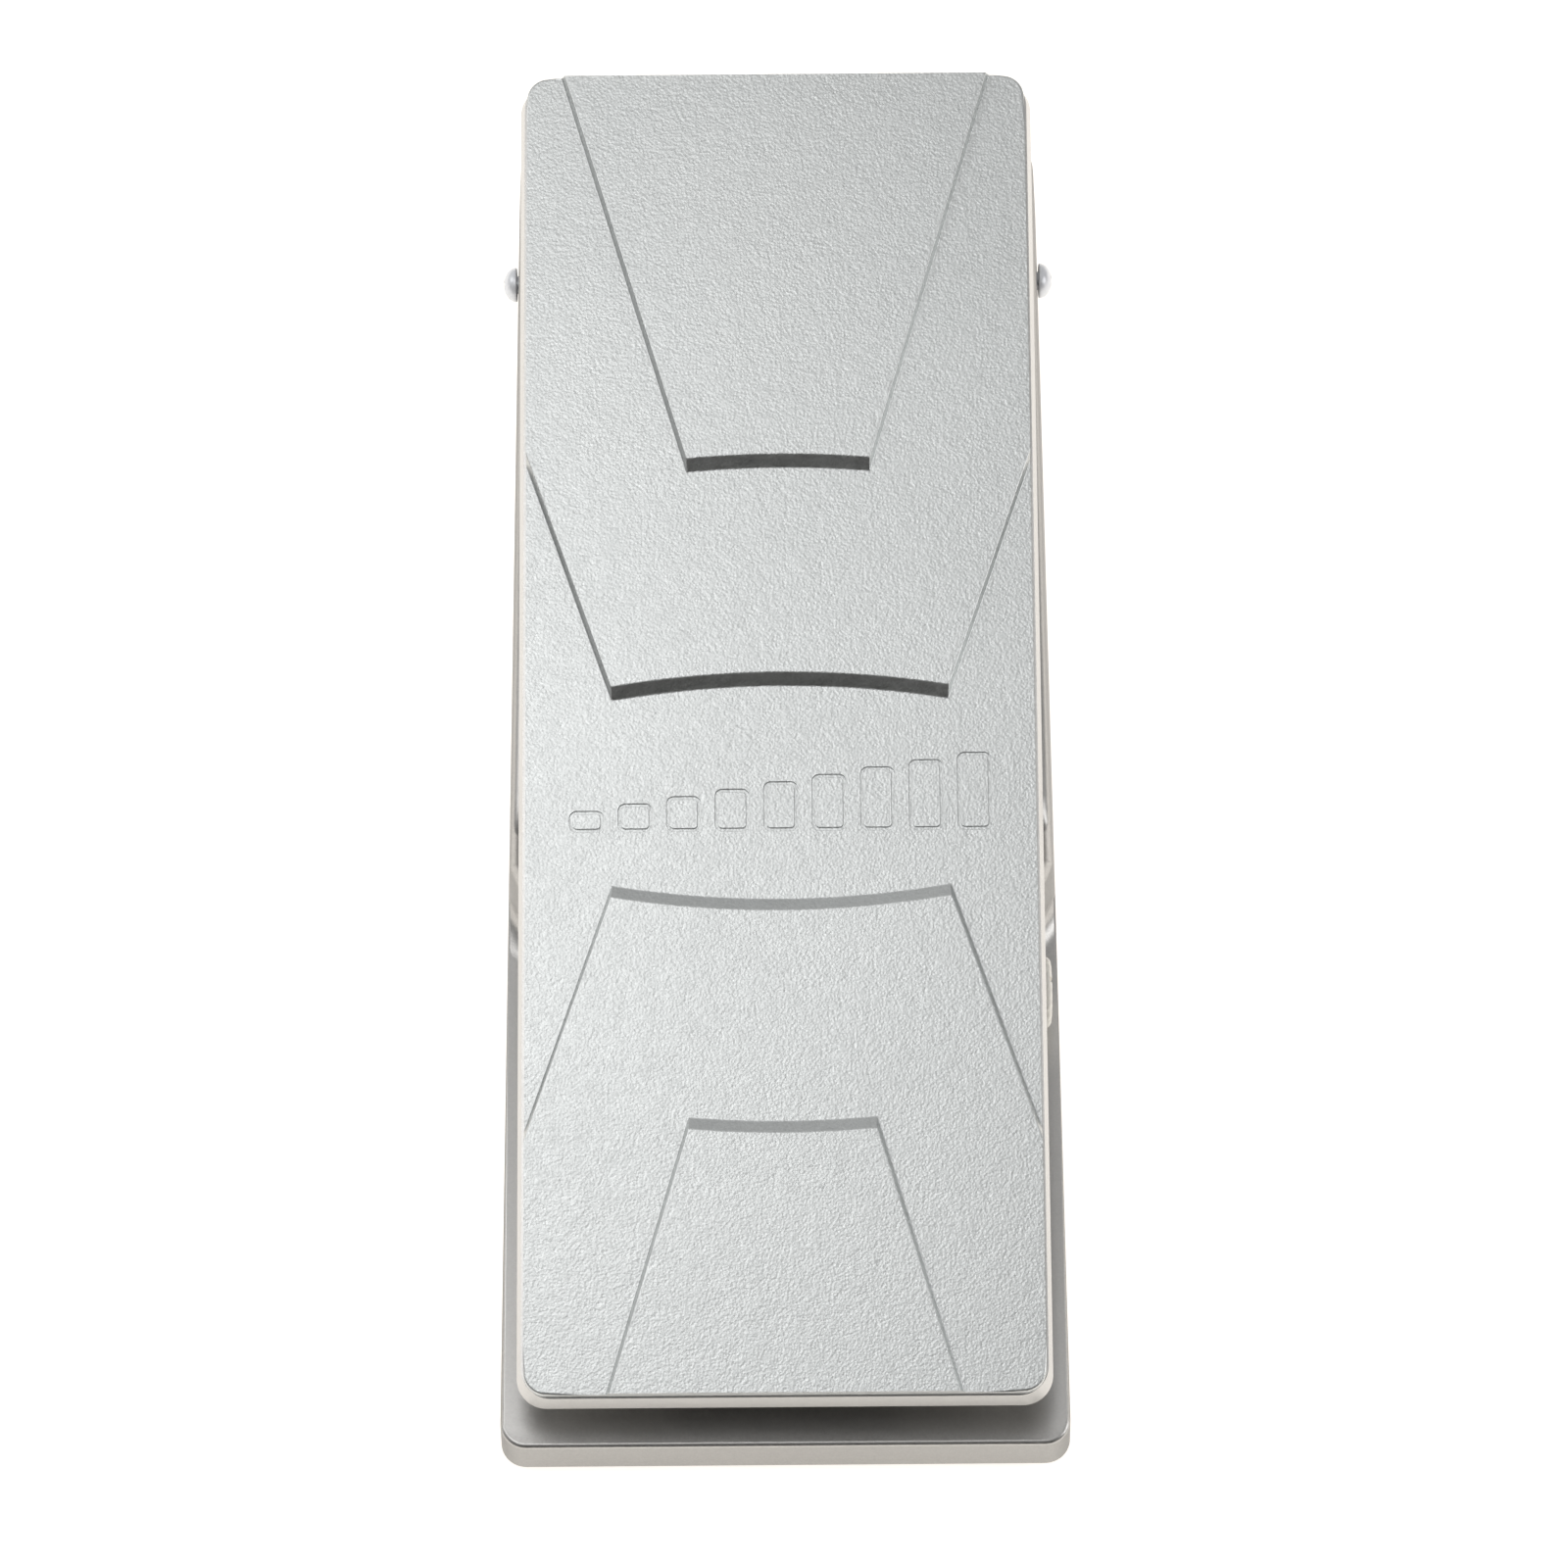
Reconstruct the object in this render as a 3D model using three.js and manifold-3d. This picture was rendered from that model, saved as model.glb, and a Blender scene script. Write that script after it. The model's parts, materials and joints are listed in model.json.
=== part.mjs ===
// A volume pedal: a drafted die-cast base with a rocking treadle on a cross shaft. The treadle's toothed
// sector turns a potentiometer through a pinion, a spring-loaded brake shoe sets the feel, a side knob
// sets the minimum volume, and six phone jacks stand in the toe wall.
// Millimetres, +X to the player's right, +Y towards the toe end, +Z up, origin under the middle of the
// whole pedal at floor level. The treadle stands heel-down.
import * as THREE from "three";
import { mergeVertices } from "three/addons/utils/BufferGeometryUtils.js";
import Module from "manifold-3d";

const wasm = await Module();
wasm.setup();

// ---- driving dimensions ----
const depth = 289; // whole pedal, heel wall to the mouths of the jacks
const heel = -depth / 2;
const width = 110; // base, at its foot
const castingLength = 283;
const toe = heel + castingLength;
const footHeight = 2; // lower edge of the casting above the floor
const wall = 3;
const draft = Math.tan(THREE.MathUtils.degToRad(1.5));
const flankDraft = Math.tan(THREE.MathUtils.degToRad(3.5)); // long walls above the deck
const heelCorner = 5;
const toeCorner = 7.5;
const gap = 0.3; // between pieces that touch
const through = 2; // how far a cutting tool runs past the face it cuts

const deckTop = 12.7; // low deck around the heel half
const blockTop = 34; // works block under the heel half of the treadle
const blockHalf = 46;
const blockStart = heel + 58;
const humpTop = 46; // over the pivot
const humpToeTop = 33; // at the toe wall
const humpStart = heel + 120; // where the high side walls turn inwards
const humpFlatEnd = heel + 160;
const shoulderRadius = 19;

const pivotY = heel + 140;
const pivotZ = 38;
const tilt = THREE.MathUtils.degToRad(12.5); // treadle, heel-down

// Treadle, in its own frame: origin on the pivot axis, +Y along the plate to the toe, +Z out of its top.
const treadleHeel = -135.7;
const treadleToe = 130.8;
const treadleHalf = 51.1;
const treadleCorner = 5.8;
const plateTop = 20.75;
const plateThick = 2.2;
const plateUnder = plateTop - plateThick;
const skirtBottom = plateTop - 6;
const skirtThick = 2.4;
const skirtLean = 1.05; // how far the skirt leans in, from its lower edge to the plate's top
const ribBottom = skirtBottom + 1;
const ribThick = 2.4;
const ribPlaces = [-100, -36, 62]; // cross ribs, along the plate

const matInset = 1.3; // from the skirt's lower edge, in plan
const matLow = plateTop + 1.4; // the mat's lowest level
const matStep = 1.6; // rise of each raised panel
const matMiddle = -17.1; // middle of the panel pattern
// Raised panels, mirrored to either end: how far from the middle the bowed edge starts, its half length
// and how fast the slanting sides open.
const panels = [
  { from: 22.5, half: 32.8, opening: 0.35 },
  { from: 66.3, half: 18, opening: 0.3 },
];
const panelBow = 195; // radius of the bowed edges

const shaftRadius = 4;
const lugX = 20; // inner face of each yoke lug
const lugThick = 6;
const lugRadius = 9;
const lugFlare = 13; // half width where the lug meets the plate
const pillarX = 30.5; // inner face of each bearing pillar
const pillarThick = 10;
const pillarHalf = 12; // along Y
const pillarFoot = 8;
const bushRadius = 5.6;
const barHalf = 8; // cross bar between the pillars' feet
const barTop = 14;
const wellTop = 30; // floor of the yoke's way through the casting's top

const toothModule = 0.8;
const pinionTeeth = 15;
const sectorTeethRound = 90; // on a full circle
const sectorTeeth = { first: -2, last: 7 }; // counted from the tooth in mesh, heel-down
const pressure = THREE.MathUtils.degToRad(20);
const backlash = 0.3;
const meshAngle = THREE.MathUtils.degToRad(-25); // direction from the pivot to the pinion
const pinionRadius = (toothModule * pinionTeeth) / 2;
const sectorRadius = (toothModule * sectorTeethRound) / 2;
const sectorX = 15.5;
const sectorThick = 4;
const sectorEnd = sectorX + sectorThick;
const sectorScrewPlaces = [-5.5, 5.5];
const sectorScrewZ = 10.5;
const potY = pivotY + (pinionRadius + sectorRadius) * Math.cos(meshAngle);
const potZ = pivotZ + (pinionRadius + sectorRadius) * Math.sin(meshAngle);

const potNeck = 3.5;
const spindleRadius = 2.3;
const bracketFace = 9.3; // of the upright plate that the volume pot bears on
const sheetThick = 1.5; // folded steel brackets and the cover
const bracketSeat = 38.3; // lands that carry the pot bracket
const bracketScrewX = -10;
const bracketScrewPlaces = [potY - 6, potY + 6];

const knobY = heel + 91;
const knobZ = 21.5;
const knobRadius = 7;
const knobStart = blockHalf + 0.8;
const knobEnd = 52.9;
const knobFlutes = 18;

const coverBottom = 3;
const coverTop = coverBottom + sheetThick;
const coverScrewReach = coverTop + 5.5;
const feet = {
  heel_left: [-40, heel + 24],
  heel_right: [40, heel + 24],
  toe_left: [-40, toe - 22],
  toe_right: [40, toe - 22],
};
const coverScrewPlaces = [
  [-41, heel + 12],
  [41, heel + 12],
  [-41, heel + 112],
  [41, heel + 112],
  [-46, heel + 236],
  [46, heel + 236],
];

const jacks = ["expression", "tuner", "output_b", "output_a", "input_b", "input_a"]; // left to right
const jackPitch = 15.8;
const jackZ = 18;
const jackHalf = 7; // square body
const jackFront = toe - 5.3; // face of the body, behind the toe wall
const jackBack = jackFront - 24;
const jackBore = 3.4;
const jackSleeve = 4.8;
const boardTop = jackZ - jackHalf - gap;
const boardBottom = boardTop - 1.6;
const boardHalf = 47.2;
const boardHeel = jackBack - 8;
const strapTop = boardBottom - gap;
const strapHalf = boardHalf + 2.3;
const sideScrewY = heel + 255;
const sideScrewZ = 20;
const sideScrewOut = 56.6; // top of the dome
const sideScrewIn = 47.6;

const seatBottom = 16.5; // spring seat on the tension screw
const seatTop = 18;
const shoeBottom = 28;
const springRadius = 3.1;
const springWire = 0.55;
const springTurns = 4;

const stopRadius = 6;
const stopX = 32;
const heelStopY = heel + 80;
const heelStopTop = 42.6;
const toeStopY = pivotY + 105;
const toeStopTop = 46.8;
const leadRadius = 1.3;

// ---- finishes ----
function finish(color, roughness, metalness) {
  return new THREE.MeshStandardMaterial({ color, roughness, metalness });
}
const silverPaint = finish(0x9b9d9d, 0.42, 0.7);
const matRubber = finish(0xb4b7b4, 0.6, 0.25);
const steel = finish(0xa8a9ab, 0.35, 0.9);
const blackSteel = finish(0x2c2d2f, 0.5, 0.7);
const brass = finish(0xb08d4a, 0.35, 0.9);
const nylon = finish(0xe6e3da, 0.55, 0);
const ivory = finish(0xefe9da, 0.45, 0);
const blackPlastic = finish(0x1b1b1c, 0.5, 0);
const blackRubber = finish(0x202020, 0.85, 0);
const boardGreen = finish(0x2c5a3a, 0.55, 0);

// ---- solids ----
// A closed geometry as a solid, moved by an optional matrix.
function solid(geometry, matrix) {
  const flat = geometry.index ? geometry.toNonIndexed() : geometry;
  const bare = new THREE.BufferGeometry().setAttribute("position", flat.getAttribute("position").clone());
  if (matrix) bare.applyMatrix4(matrix);
  const merged = mergeVertices(bare, 1e-4);
  return new wasm.Manifold(
    new wasm.Mesh({
      numProp: 3,
      vertProperties: merged.attributes.position.array,
      triVerts: new Uint32Array(merged.index.array),
    }),
  );
}

function geometryOf(made) {
  const mesh = made.getMesh();
  return new THREE.BufferGeometry()
    .setAttribute("position", new THREE.BufferAttribute(mesh.vertProperties, 3))
    .setIndex(new THREE.BufferAttribute(mesh.triVerts, 1));
}

function moved(x, y, z) {
  return new THREE.Matrix4().makeTranslation(x, y, z);
}

function box(x0, x1, y0, y1, z0, z1) {
  const geometry = new THREE.BoxGeometry(x1 - x0, y1 - y0, z1 - z0);
  return solid(geometry, moved((x0 + x1) / 2, (y0 + y1) / 2, (z0 + z1) / 2));
}

// Round bars along each axis, from a to b.
function rodX(radius, a, b, y, z, sides = 20) {
  const geometry = new THREE.CylinderGeometry(radius, radius, b - a, sides).rotateZ(Math.PI / 2);
  return solid(geometry, moved((a + b) / 2, y, z));
}

function rodY(radius, a, b, x, z, sides = 20) {
  const geometry = new THREE.CylinderGeometry(radius, radius, b - a, sides);
  return solid(geometry, moved(x, (a + b) / 2, z));
}

function rodZ(radius, a, b, x, y, sides = 20) {
  const geometry = new THREE.CylinderGeometry(radius, radius, b - a, sides).rotateX(Math.PI / 2);
  return solid(geometry, moved(x, y, (a + b) / 2));
}

// A profile of [radius, height] pairs turned about the Z axis.
function turned(profile, sides) {
  const points = profile.map(([r, z]) => new THREE.Vector2(r, z));
  return new THREE.LatheGeometry(points, sides).rotateX(Math.PI / 2);
}

function extruded(shape, length, curveSegments = 6) {
  return new THREE.ExtrudeGeometry(shape, { depth: length, bevelEnabled: false, curveSegments });
}

// A shape drawn in Y and Z, extruded along X from x0 to x1.
function alongX(shape, x0, x1, curveSegments) {
  const turn = new THREE.Matrix4().makeBasis(
    new THREE.Vector3(0, 1, 0),
    new THREE.Vector3(0, 0, 1),
    new THREE.Vector3(1, 0, 0),
  );
  return solid(extruded(shape, x1 - x0, curveSegments), moved(x0, 0, 0).multiply(turn));
}

// A shape drawn in X and Y, extruded upwards from z0 to z1.
function upwards(shape, z0, z1, curveSegments) {
  return solid(extruded(shape, z1 - z0, curveSegments), moved(0, 0, z0));
}

// The same, with every side leaning inwards.
function drafted(shape, z0, z1, slope = draft) {
  const geometry = extruded(shape, z1 - z0);
  const place = geometry.getAttribute("position");
  for (let i = 0; i < place.count; i++) {
    const lean = place.getZ(i) * slope;
    place.setX(i, place.getX(i) - Math.sign(place.getX(i)) * lean);
    place.setY(i, place.getY(i) - Math.sign(place.getY(i)) * lean);
  }
  return solid(geometry, moved(0, 0, z0));
}

// A rectangle with one corner radius at its low-Y end and another at its high-Y end.
function roundedRectangle(half, y0, y1, lowRadius, highRadius) {
  const shape = new THREE.Shape();
  shape.absarc(half - lowRadius, y0 + lowRadius, lowRadius, -Math.PI / 2, 0);
  shape.absarc(half - highRadius, y1 - highRadius, highRadius, 0, Math.PI / 2);
  shape.absarc(-half + highRadius, y1 - highRadius, highRadius, Math.PI / 2, Math.PI);
  shape.absarc(-half + lowRadius, y0 + lowRadius, lowRadius, Math.PI, Math.PI * 1.5);
  return shape;
}

function polygon(points) {
  return new THREE.Shape(points.map(([x, y]) => new THREE.Vector2(x, y)));
}

function unite(...solids) {
  return solids.reduce((whole, next) => whole.add(next));
}

function cut(whole, ...tools) {
  return tools.reduce((left, tool) => left.subtract(tool), whole);
}

// Two distances from the middle plane as an ordered span on one side of it.
function span(side, a, b) {
  return [side * a, side * b].sort((p, q) => p - q);
}
const sides = { left: -1, right: 1 };

// ---- bodies: everything in a group moves together ----
const pedal = new THREE.Group();

function bodyAt(x, y, z) {
  const group = new THREE.Group();
  group.position.set(x, y, z);
  pedal.add(group);
  return group;
}
const base = bodyAt(0, 0, 0);
const treadle = bodyAt(0, pivotY, pivotZ);
treadle.rotation.x = tilt;
const potRotor = bodyAt(0, potY, potZ);
const knob = bodyAt(0, knobY, knobZ);
const tension = bodyAt(0, pivotY, 0);

function add(body, name, made, material) {
  const mesh = new THREE.Mesh(geometryOf(made), material);
  mesh.name = name;
  body.add(mesh);
}

// ---- base casting ----
// Plan of the high part: full width at the toe, turning inwards on round shoulders to the works block.
function humpPlan(inset) {
  const half = blockHalf - inset;
  const start = blockStart + inset;
  const chamfer = 5;
  const radius = shoulderRadius - inset;
  const centreX = width / 2 - shoulderRadius;
  const foot = humpStart - Math.sqrt(radius ** 2 - (half - centreX) ** 2);
  const turnTo = Math.atan2(foot - humpStart, half - centreX);
  const shape = new THREE.Shape();
  shape.moveTo(-half + chamfer, start);
  shape.lineTo(half - chamfer, start);
  shape.lineTo(half, start + chamfer * 1.6);
  shape.absarc(centreX, humpStart, radius, turnTo, 0);
  shape.lineTo(centreX + radius, toe + wall - inset);
  shape.lineTo(-centreX - radius, toe + wall - inset);
  shape.absarc(-centreX, humpStart, radius, Math.PI, Math.PI - turnTo);
  shape.lineTo(-half, start + chamfer * 1.6);
  return shape;
}

// Side outline of everything above the low deck, lowered by a drop for the cavity.
function humpSide(drop) {
  const beyond = 20;
  const slide = Math.max(drop, 0); // keeps the hollow a wall away from the outside where it steps
  return polygon([
    [blockStart - beyond, 0],
    [toe + beyond, 0],
    [toe + beyond, humpToeTop - drop],
    [toe, humpToeTop - drop],
    [humpFlatEnd, humpTop - drop],
    [humpStart + 3 - slide * 0.2, humpTop - drop],
    [humpStart - 3, humpTop - 2 - drop],
    [humpStart - 8, blockTop + 4 - drop],
    [humpStart - 12, blockTop - drop],
    [blockStart + 14 + slide * 0.4, blockTop - drop],
    [blockStart + 7 + slide * 0.8, blockTop - 4 - drop],
    [blockStart + slide, deckTop - drop],
    [blockStart - beyond, deckTop - drop],
  ]);
}

// The casting's outside, or its hollow: the low deck and the high part, within the drafted walls.
function castingForm(inset, bottom) {
  const high = humpTop + 14;
  const beyond = 6;
  const corners = [heelCorner - inset, toeCorner - inset];
  const half = width / 2 - inset;
  const flankHalf = half + (deckTop - bottom) * (flankDraft - draft);
  const plan = roundedRectangle(half, heel + inset, toe - inset, ...corners);
  const flanks = roundedRectangle(flankHalf, heel - beyond, toe + beyond, ...corners);
  const low = box(-width, width, heel - through, toe + through, 0, deckTop - inset);
  const raised = upwards(humpPlan(inset), 0, high, 8).intersect(alongX(humpSide(inset), -width, width));
  const within = drafted(plan, bottom, high).intersect(drafted(flanks, bottom, high, flankDraft));
  return low.add(raised).intersect(within);
}

// Posts for the cover screws, each run up into the roof over it.
function coverScrewPosts() {
  const fall = (humpTop - humpToeTop) / (toe - humpFlatEnd);
  return coverScrewPlaces.map(([x, y]) => {
    const low = y > humpStart - barTop ? blockTop : deckTop;
    const roof = y > humpFlatEnd ? humpTop - fall * (y - humpFlatEnd) : low;
    return rodZ(4, coverTop + gap, roof - 1, x, y, 12);
  });
}

// Bearing pillars, with a cross bar between their feet that carries the brake.
function pillars() {
  const [front, back] = [pivotY - pillarHalf, pivotY + pillarHalf];
  const pair = Object.values(sides).map((side) =>
    box(...span(side, pillarX, pillarX + pillarThick), front, back, pillarFoot, humpTop - 1),
  );
  const bar = box(-pillarX - 1, pillarX + 1, pivotY - barHalf, pivotY + barHalf, pillarFoot, barTop);
  return unite(...pair, bar);
}

// The yoke's way through the top, with a slot for the sector beside it.
function yokeWell() {
  const half = pillarX - 1.5;
  const high = humpTop + through;
  return unite(
    box(-half, half, pivotY - 19, pivotY + 18, wellTop, high),
    box(sectorX - 2.5, sectorEnd + 2.5, pivotY, pivotY + sectorRadius + 4, wellTop, high),
  );
}

function baseCasting() {
  const hollow = castingForm(wall, 0);
  const lands = bracketScrewPlaces.map((y) => rodZ(3.5, bracketSeat, humpTop - 4, bracketScrewX, y, 12));
  const shell = cut(castingForm(0, footHeight), hollow);
  const bearingEnd = pillarX + pillarThick + 1;
  return cut(
    unite(shell, ...coverScrewPosts(), pillars(), ...lands),
    yokeWell(),
    rodX(bushRadius + 0.2, -bearingEnd, bearingEnd, pivotY, pivotZ, 24),
    rodZ(2.75, pillarFoot - 1, barTop + 1, 0, pivotY, 16),
    ...coverScrewPlaces.map(([x, y]) => rodZ(1.6, coverTop - 1, coverScrewReach + 0.5, x, y, 8)),
    ...bracketScrewPlaces.map((y) => rodZ(1.3, bracketSeat - gap, humpTop - 4, bracketScrewX, y, 8)),
    ...jacks.map((_, i) => rodY(jackSleeve + 0.2, toe - 8, toe + through, jackX(i), jackZ, 16)),
    rodX(2.2, -width, width, sideScrewY, sideScrewZ, 12),
    rodX(potNeck + gap, blockHalf - wall - through, blockHalf + through, knobY, knobZ, 16),
  );
}

function jackX(i) {
  return (i - (jacks.length - 1) / 2) * jackPitch;
}
add(base, "base_casting", baseCasting(), silverPaint);

// ---- bottom cover, its screws and the feet ----
function bottomCover() {
  const edge = wall + 0.7;
  const outline = roundedRectangle(width / 2 - edge, heel + edge, toe - edge, 2.5, 4);
  const holes = coverScrewPlaces.map(([x, y]) => rodZ(1.9, coverBottom - 1, coverTop + 1, x, y, 12));
  const screwWay = rodZ(4, coverBottom - 1, coverTop + 1, 0, pivotY, 16);
  return cut(upwards(outline, coverBottom, coverTop, 4), ...holes, screwWay);
}
add(base, "bottom_cover", bottomCover(), blackSteel);

coverScrewPlaces.forEach(([x, y], i) => {
  const head = rodZ(3, coverBottom - 1.5, coverBottom - gap, x, y, 14);
  const shank = rodZ(1.3, coverBottom - 1, coverScrewReach, x, y, 8);
  add(base, `cover_screw_${i + 1}`, head.add(shank), blackSteel);
});

for (const [name, [x, y]] of Object.entries(feet)) {
  const top = coverBottom - gap;
  const form = turned([[0, 0], [7.2, 0], [8, 0.8], [8, top], [0, top]], 24);
  add(base, `foot_${name}`, solid(form, moved(x, y, 0)), blackRubber);
}

// ---- jacks on their board ----
jacks.forEach((name, i) => {
  const x = jackX(i);
  const body = box(x - jackHalf, x + jackHalf, jackBack, jackFront, jackZ - jackHalf, jackZ + jackHalf);
  const sleeve = rodY(jackSleeve, jackFront - 1, depth / 2, x, jackZ, 16);
  const bore = rodY(jackBore, jackBack + 2, depth / 2 + 1, x, jackZ, 8);
  add(base, `jack_${name}`, cut(body.add(sleeve), bore), blackPlastic);
  const nut = rodY(6.6, toe + 0.1, toe + 2.3, x, jackZ, 6);
  const thread = rodY(jackSleeve + 0.2, toe - 1, toe + 3, x, jackZ, 16);
  add(base, `jack_nut_${name}`, cut(nut, thread), steel);
});

add(base, "jack_board", box(-boardHalf, boardHalf, boardHeel, jackFront, boardBottom, boardTop), boardGreen);

// A strap under the board, whose upturned ends the two side screws hold.
function jackBracket() {
  const [front, back] = [sideScrewY - 6, sideScrewY + 6];
  const bottom = strapTop - sheetThick;
  const ends = Object.values(sides).map((side) =>
    box(...span(side, strapHalf - sheetThick, strapHalf), front, back, bottom, sideScrewZ + 5),
  );
  const strap = box(-strapHalf, strapHalf, front, back, bottom, strapTop);
  return cut(unite(strap, ...ends), rodX(2.2, -width, width, sideScrewY, sideScrewZ, 12));
}
add(base, "jack_bracket", jackBracket(), steel);

// Domed head against the leaning wall, shank through the wall into the strap.
function sideScrew(side) {
  const top = sideScrewOut;
  const lowest = sideScrewZ - 5; // just below the head's edge
  const wallLean = draft * (deckTop - footHeight) + flankDraft * (lowest - deckTop);
  const under = width / 2 - wallLean + gap;
  const profile = [
    [0, sideScrewIn],
    [1.9, sideScrewIn],
    [1.9, under],
    [3.8, under],
    [3.8, under + 0.3],
    [3.4, top - 0.9],
    [2.4, top - 0.2],
    [1.2, top],
    [1.2, top - 1],
    [0, top - 1],
  ];
  return solid(turned(profile, 20).rotateY((side * Math.PI) / 2), moved(0, sideScrewY, sideScrewZ));
}
for (const [name, side] of Object.entries(sides)) add(base, `side_screw_${name}`, sideScrew(side), steel);

// ---- volume pot on its bracket, minimum-volume pot in the wall ----
function potBracket() {
  const [front, back] = [potY - 10, potY + 10];
  const [face, seat] = [bracketFace + sheetThick, bracketSeat - gap];
  const flange = box(bracketScrewX - 5, face, front, back, seat - sheetThick, seat);
  const upright = box(bracketFace, face, front, back, potZ - 11, seat);
  const holes = bracketScrewPlaces.map((y) => rodZ(1.7, seat - 4, seat + 2, bracketScrewX, y, 12));
  return cut(flange.add(upright), rodX(potNeck + gap, bracketFace - 1, face + 1, potY, potZ, 16), ...holes);
}
add(base, "pot_bracket", potBracket(), steel);

bracketScrewPlaces.forEach((y, i) => {
  const under = bracketSeat - sheetThick - 2 * gap;
  const head = rodZ(2.8, under - 1.6, under, bracketScrewX, y, 14);
  const shank = rodZ(1.1, under - 1, under + 4.8, bracketScrewX, y, 8);
  add(base, `pot_bracket_screw_${i + 1}`, head.add(shank), steel);
});

// A round can with its solder tag, a threaded neck and a bore for the spindle.
function pot(canRadius, start, shoulder, neckEnd, y, z) {
  const can = rodX(canRadius, start, shoulder, y, z, 24);
  const neck = rodX(potNeck, shoulder - 1, neckEnd, y, z, 16);
  const tag = box(start + 2, start + 4, y - 5, y + 5, z - canRadius - 3, z);
  return cut(unite(can, neck, tag), rodX(spindleRadius + gap, start + 3, neckEnd + 1, y, z, 16));
}

function potNut(start, y, z) {
  return cut(rodX(5.1, start, start + 1.9, y, z, 6), rodX(potNeck + gap, start - 1, start + 3, y, z, 16));
}
const bracketFar = bracketFace + sheetThick;
add(base, "volume_pot", pot(8.5, -3, bracketFace - gap, bracketFar + 2.8, potY, potZ), steel);
add(base, "volume_pot_nut", potNut(bracketFar + gap, potY, potZ), brass);
add(base, "min_volume_pot", pot(7.5, 31, blockHalf - wall - gap, blockHalf + 2.4, knobY, knobZ), steel);
add(base, "min_volume_nut", potNut(blockHalf + gap, knobY, knobZ), brass);

// ---- bearings, brake and stops ----
for (const [name, side] of Object.entries(sides)) {
  const length = span(side, pillarX + 0.5, pillarX + pillarThick - 0.2);
  const bush = rodX(bushRadius, ...length, pivotY, pivotZ, 24);
  const bore = rodX(shaftRadius + gap, ...span(side, pillarX, pillarX + pillarThick), pivotY, pivotZ, 24);
  add(base, `pivot_bush_${name}`, cut(bush, bore), nylon);
}

// Saddle under the shaft with a stem in the spring.
function brakeShoe() {
  const half = 12;
  const block = box(-half, half, pivotY - 6, pivotY + 6, shoeBottom, pivotZ - 2);
  const stem = rodZ(1.8, shoeBottom - 4, shoeBottom + 1, 0, pivotY, 12);
  return cut(block.add(stem), rodX(shaftRadius + gap, -half - 1, half + 1, pivotY, pivotZ, 24));
}
add(base, "brake_shoe", brakeShoe(), nylon);
add(base, "spring_seat", rodZ(4.4, seatBottom, seatTop, 0, pivotY, 20), steel);

// Helical spring, a dozen steps to each turn, its ends 0.4 clear of what they bear on.
function tensionSpring() {
  const [bottom, top] = [seatTop + 0.4 + springWire, shoeBottom - 0.4 - springWire];
  const steps = springTurns * 12;
  const points = Array.from({ length: steps + 1 }, (_, i) => {
    const angle = (i / 12) * Math.PI * 2;
    const [x, y] = [springRadius * Math.cos(angle), springRadius * Math.sin(angle)];
    return new THREE.Vector3(x, pivotY + y, bottom + ((top - bottom) * i) / steps);
  });
  return tube(points, springWire, steps, 3);
}

function tube(points, radius, steps, curveSegments) {
  const extrudePath = new THREE.CatmullRomCurve3(points);
  const section = new THREE.Shape().absarc(0, 0, radius, 0, Math.PI * 2);
  return solid(new THREE.ExtrudeGeometry(section, { steps, extrudePath, curveSegments }));
}
add(base, "tension_spring", tensionSpring(), steel);

function bumper(bottom, top, x, y) {
  const r = stopRadius;
  const profile = [[0, bottom], [r, bottom], [r, top - 1.6], [r - 1.4, top - 0.5], [0, top]];
  return solid(turned(profile, 20), moved(x, y, 0));
}
for (const [name, side] of Object.entries(sides)) {
  add(base, `heel_stop_${name}`, bumper(blockTop + gap, heelStopTop, side * stopX, heelStopY), blackRubber);
  const toeStop = bumper(humpToeTop, toeStopTop, side * stopX, toeStopY);
  add(base, `toe_stop_${name}`, cut(toeStop, alongX(humpSide(-gap), -width, width)), blackRubber);
}

// ---- inside leads, from each pot's tag to the board ----
function lead(...points) {
  return tube(points.map((p) => new THREE.Vector3(...p)), leadRadius, 24, 4);
}
const leadLanding = boardTop + leadRadius + 0.5;
const volumeLead = lead(
  [-5, potY, potZ - 9],
  [-9, potY + 6, 10],
  [-10, 60, 8.5],
  [-8, 85, 11],
  [-6, boardHeel + 3, leadLanding],
);
add(base, "volume_pot_lead", volumeLead, blackPlastic);
const knobLead = lead(
  [28.5, knobY, knobZ - 8],
  [25, knobY + 15, 9],
  [25, pivotY - 20, 6.6],
  [25, pivotY, 6.4],
  [25, pivotY + 20, 6.6],
  [28, 60, 8],
  [20, 85, 11],
  [18, boardHeel + 3, leadLanding],
);
add(base, "min_volume_lead", knobLead, blackPlastic);

// ---- tension screw, turned from below ----
function tensionScrew() {
  const headTop = pillarFoot - 0.6;
  const head = rodZ(3.6, coverBottom + gap, headTop, 0, 0, 18);
  const shank = rodZ(2.4, headTop - 1, seatBottom - gap, 0, 0, 16);
  return cut(head.add(shank), rodZ(1.7, coverBottom - 1, headTop - 1.6, 0, 0, 6));
}
add(tension, "tension_screw", tensionScrew(), steel);

// ---- treadle ----
function lugOutline() {
  const waist = 9;
  const shape = new THREE.Shape();
  shape.moveTo(-lugFlare, plateUnder + 1);
  shape.lineTo(-lugRadius, waist);
  shape.absarc(0, 0, lugRadius, Math.PI, Math.PI * 2);
  shape.lineTo(lugRadius, waist);
  shape.lineTo(lugFlare, plateUnder + 1);
  return shape;
}

function treadleOutline(inset) {
  const radius = treadleCorner - inset;
  return roundedRectangle(treadleHalf - inset, treadleHeel + inset, treadleToe - inset, radius, radius);
}

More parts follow.
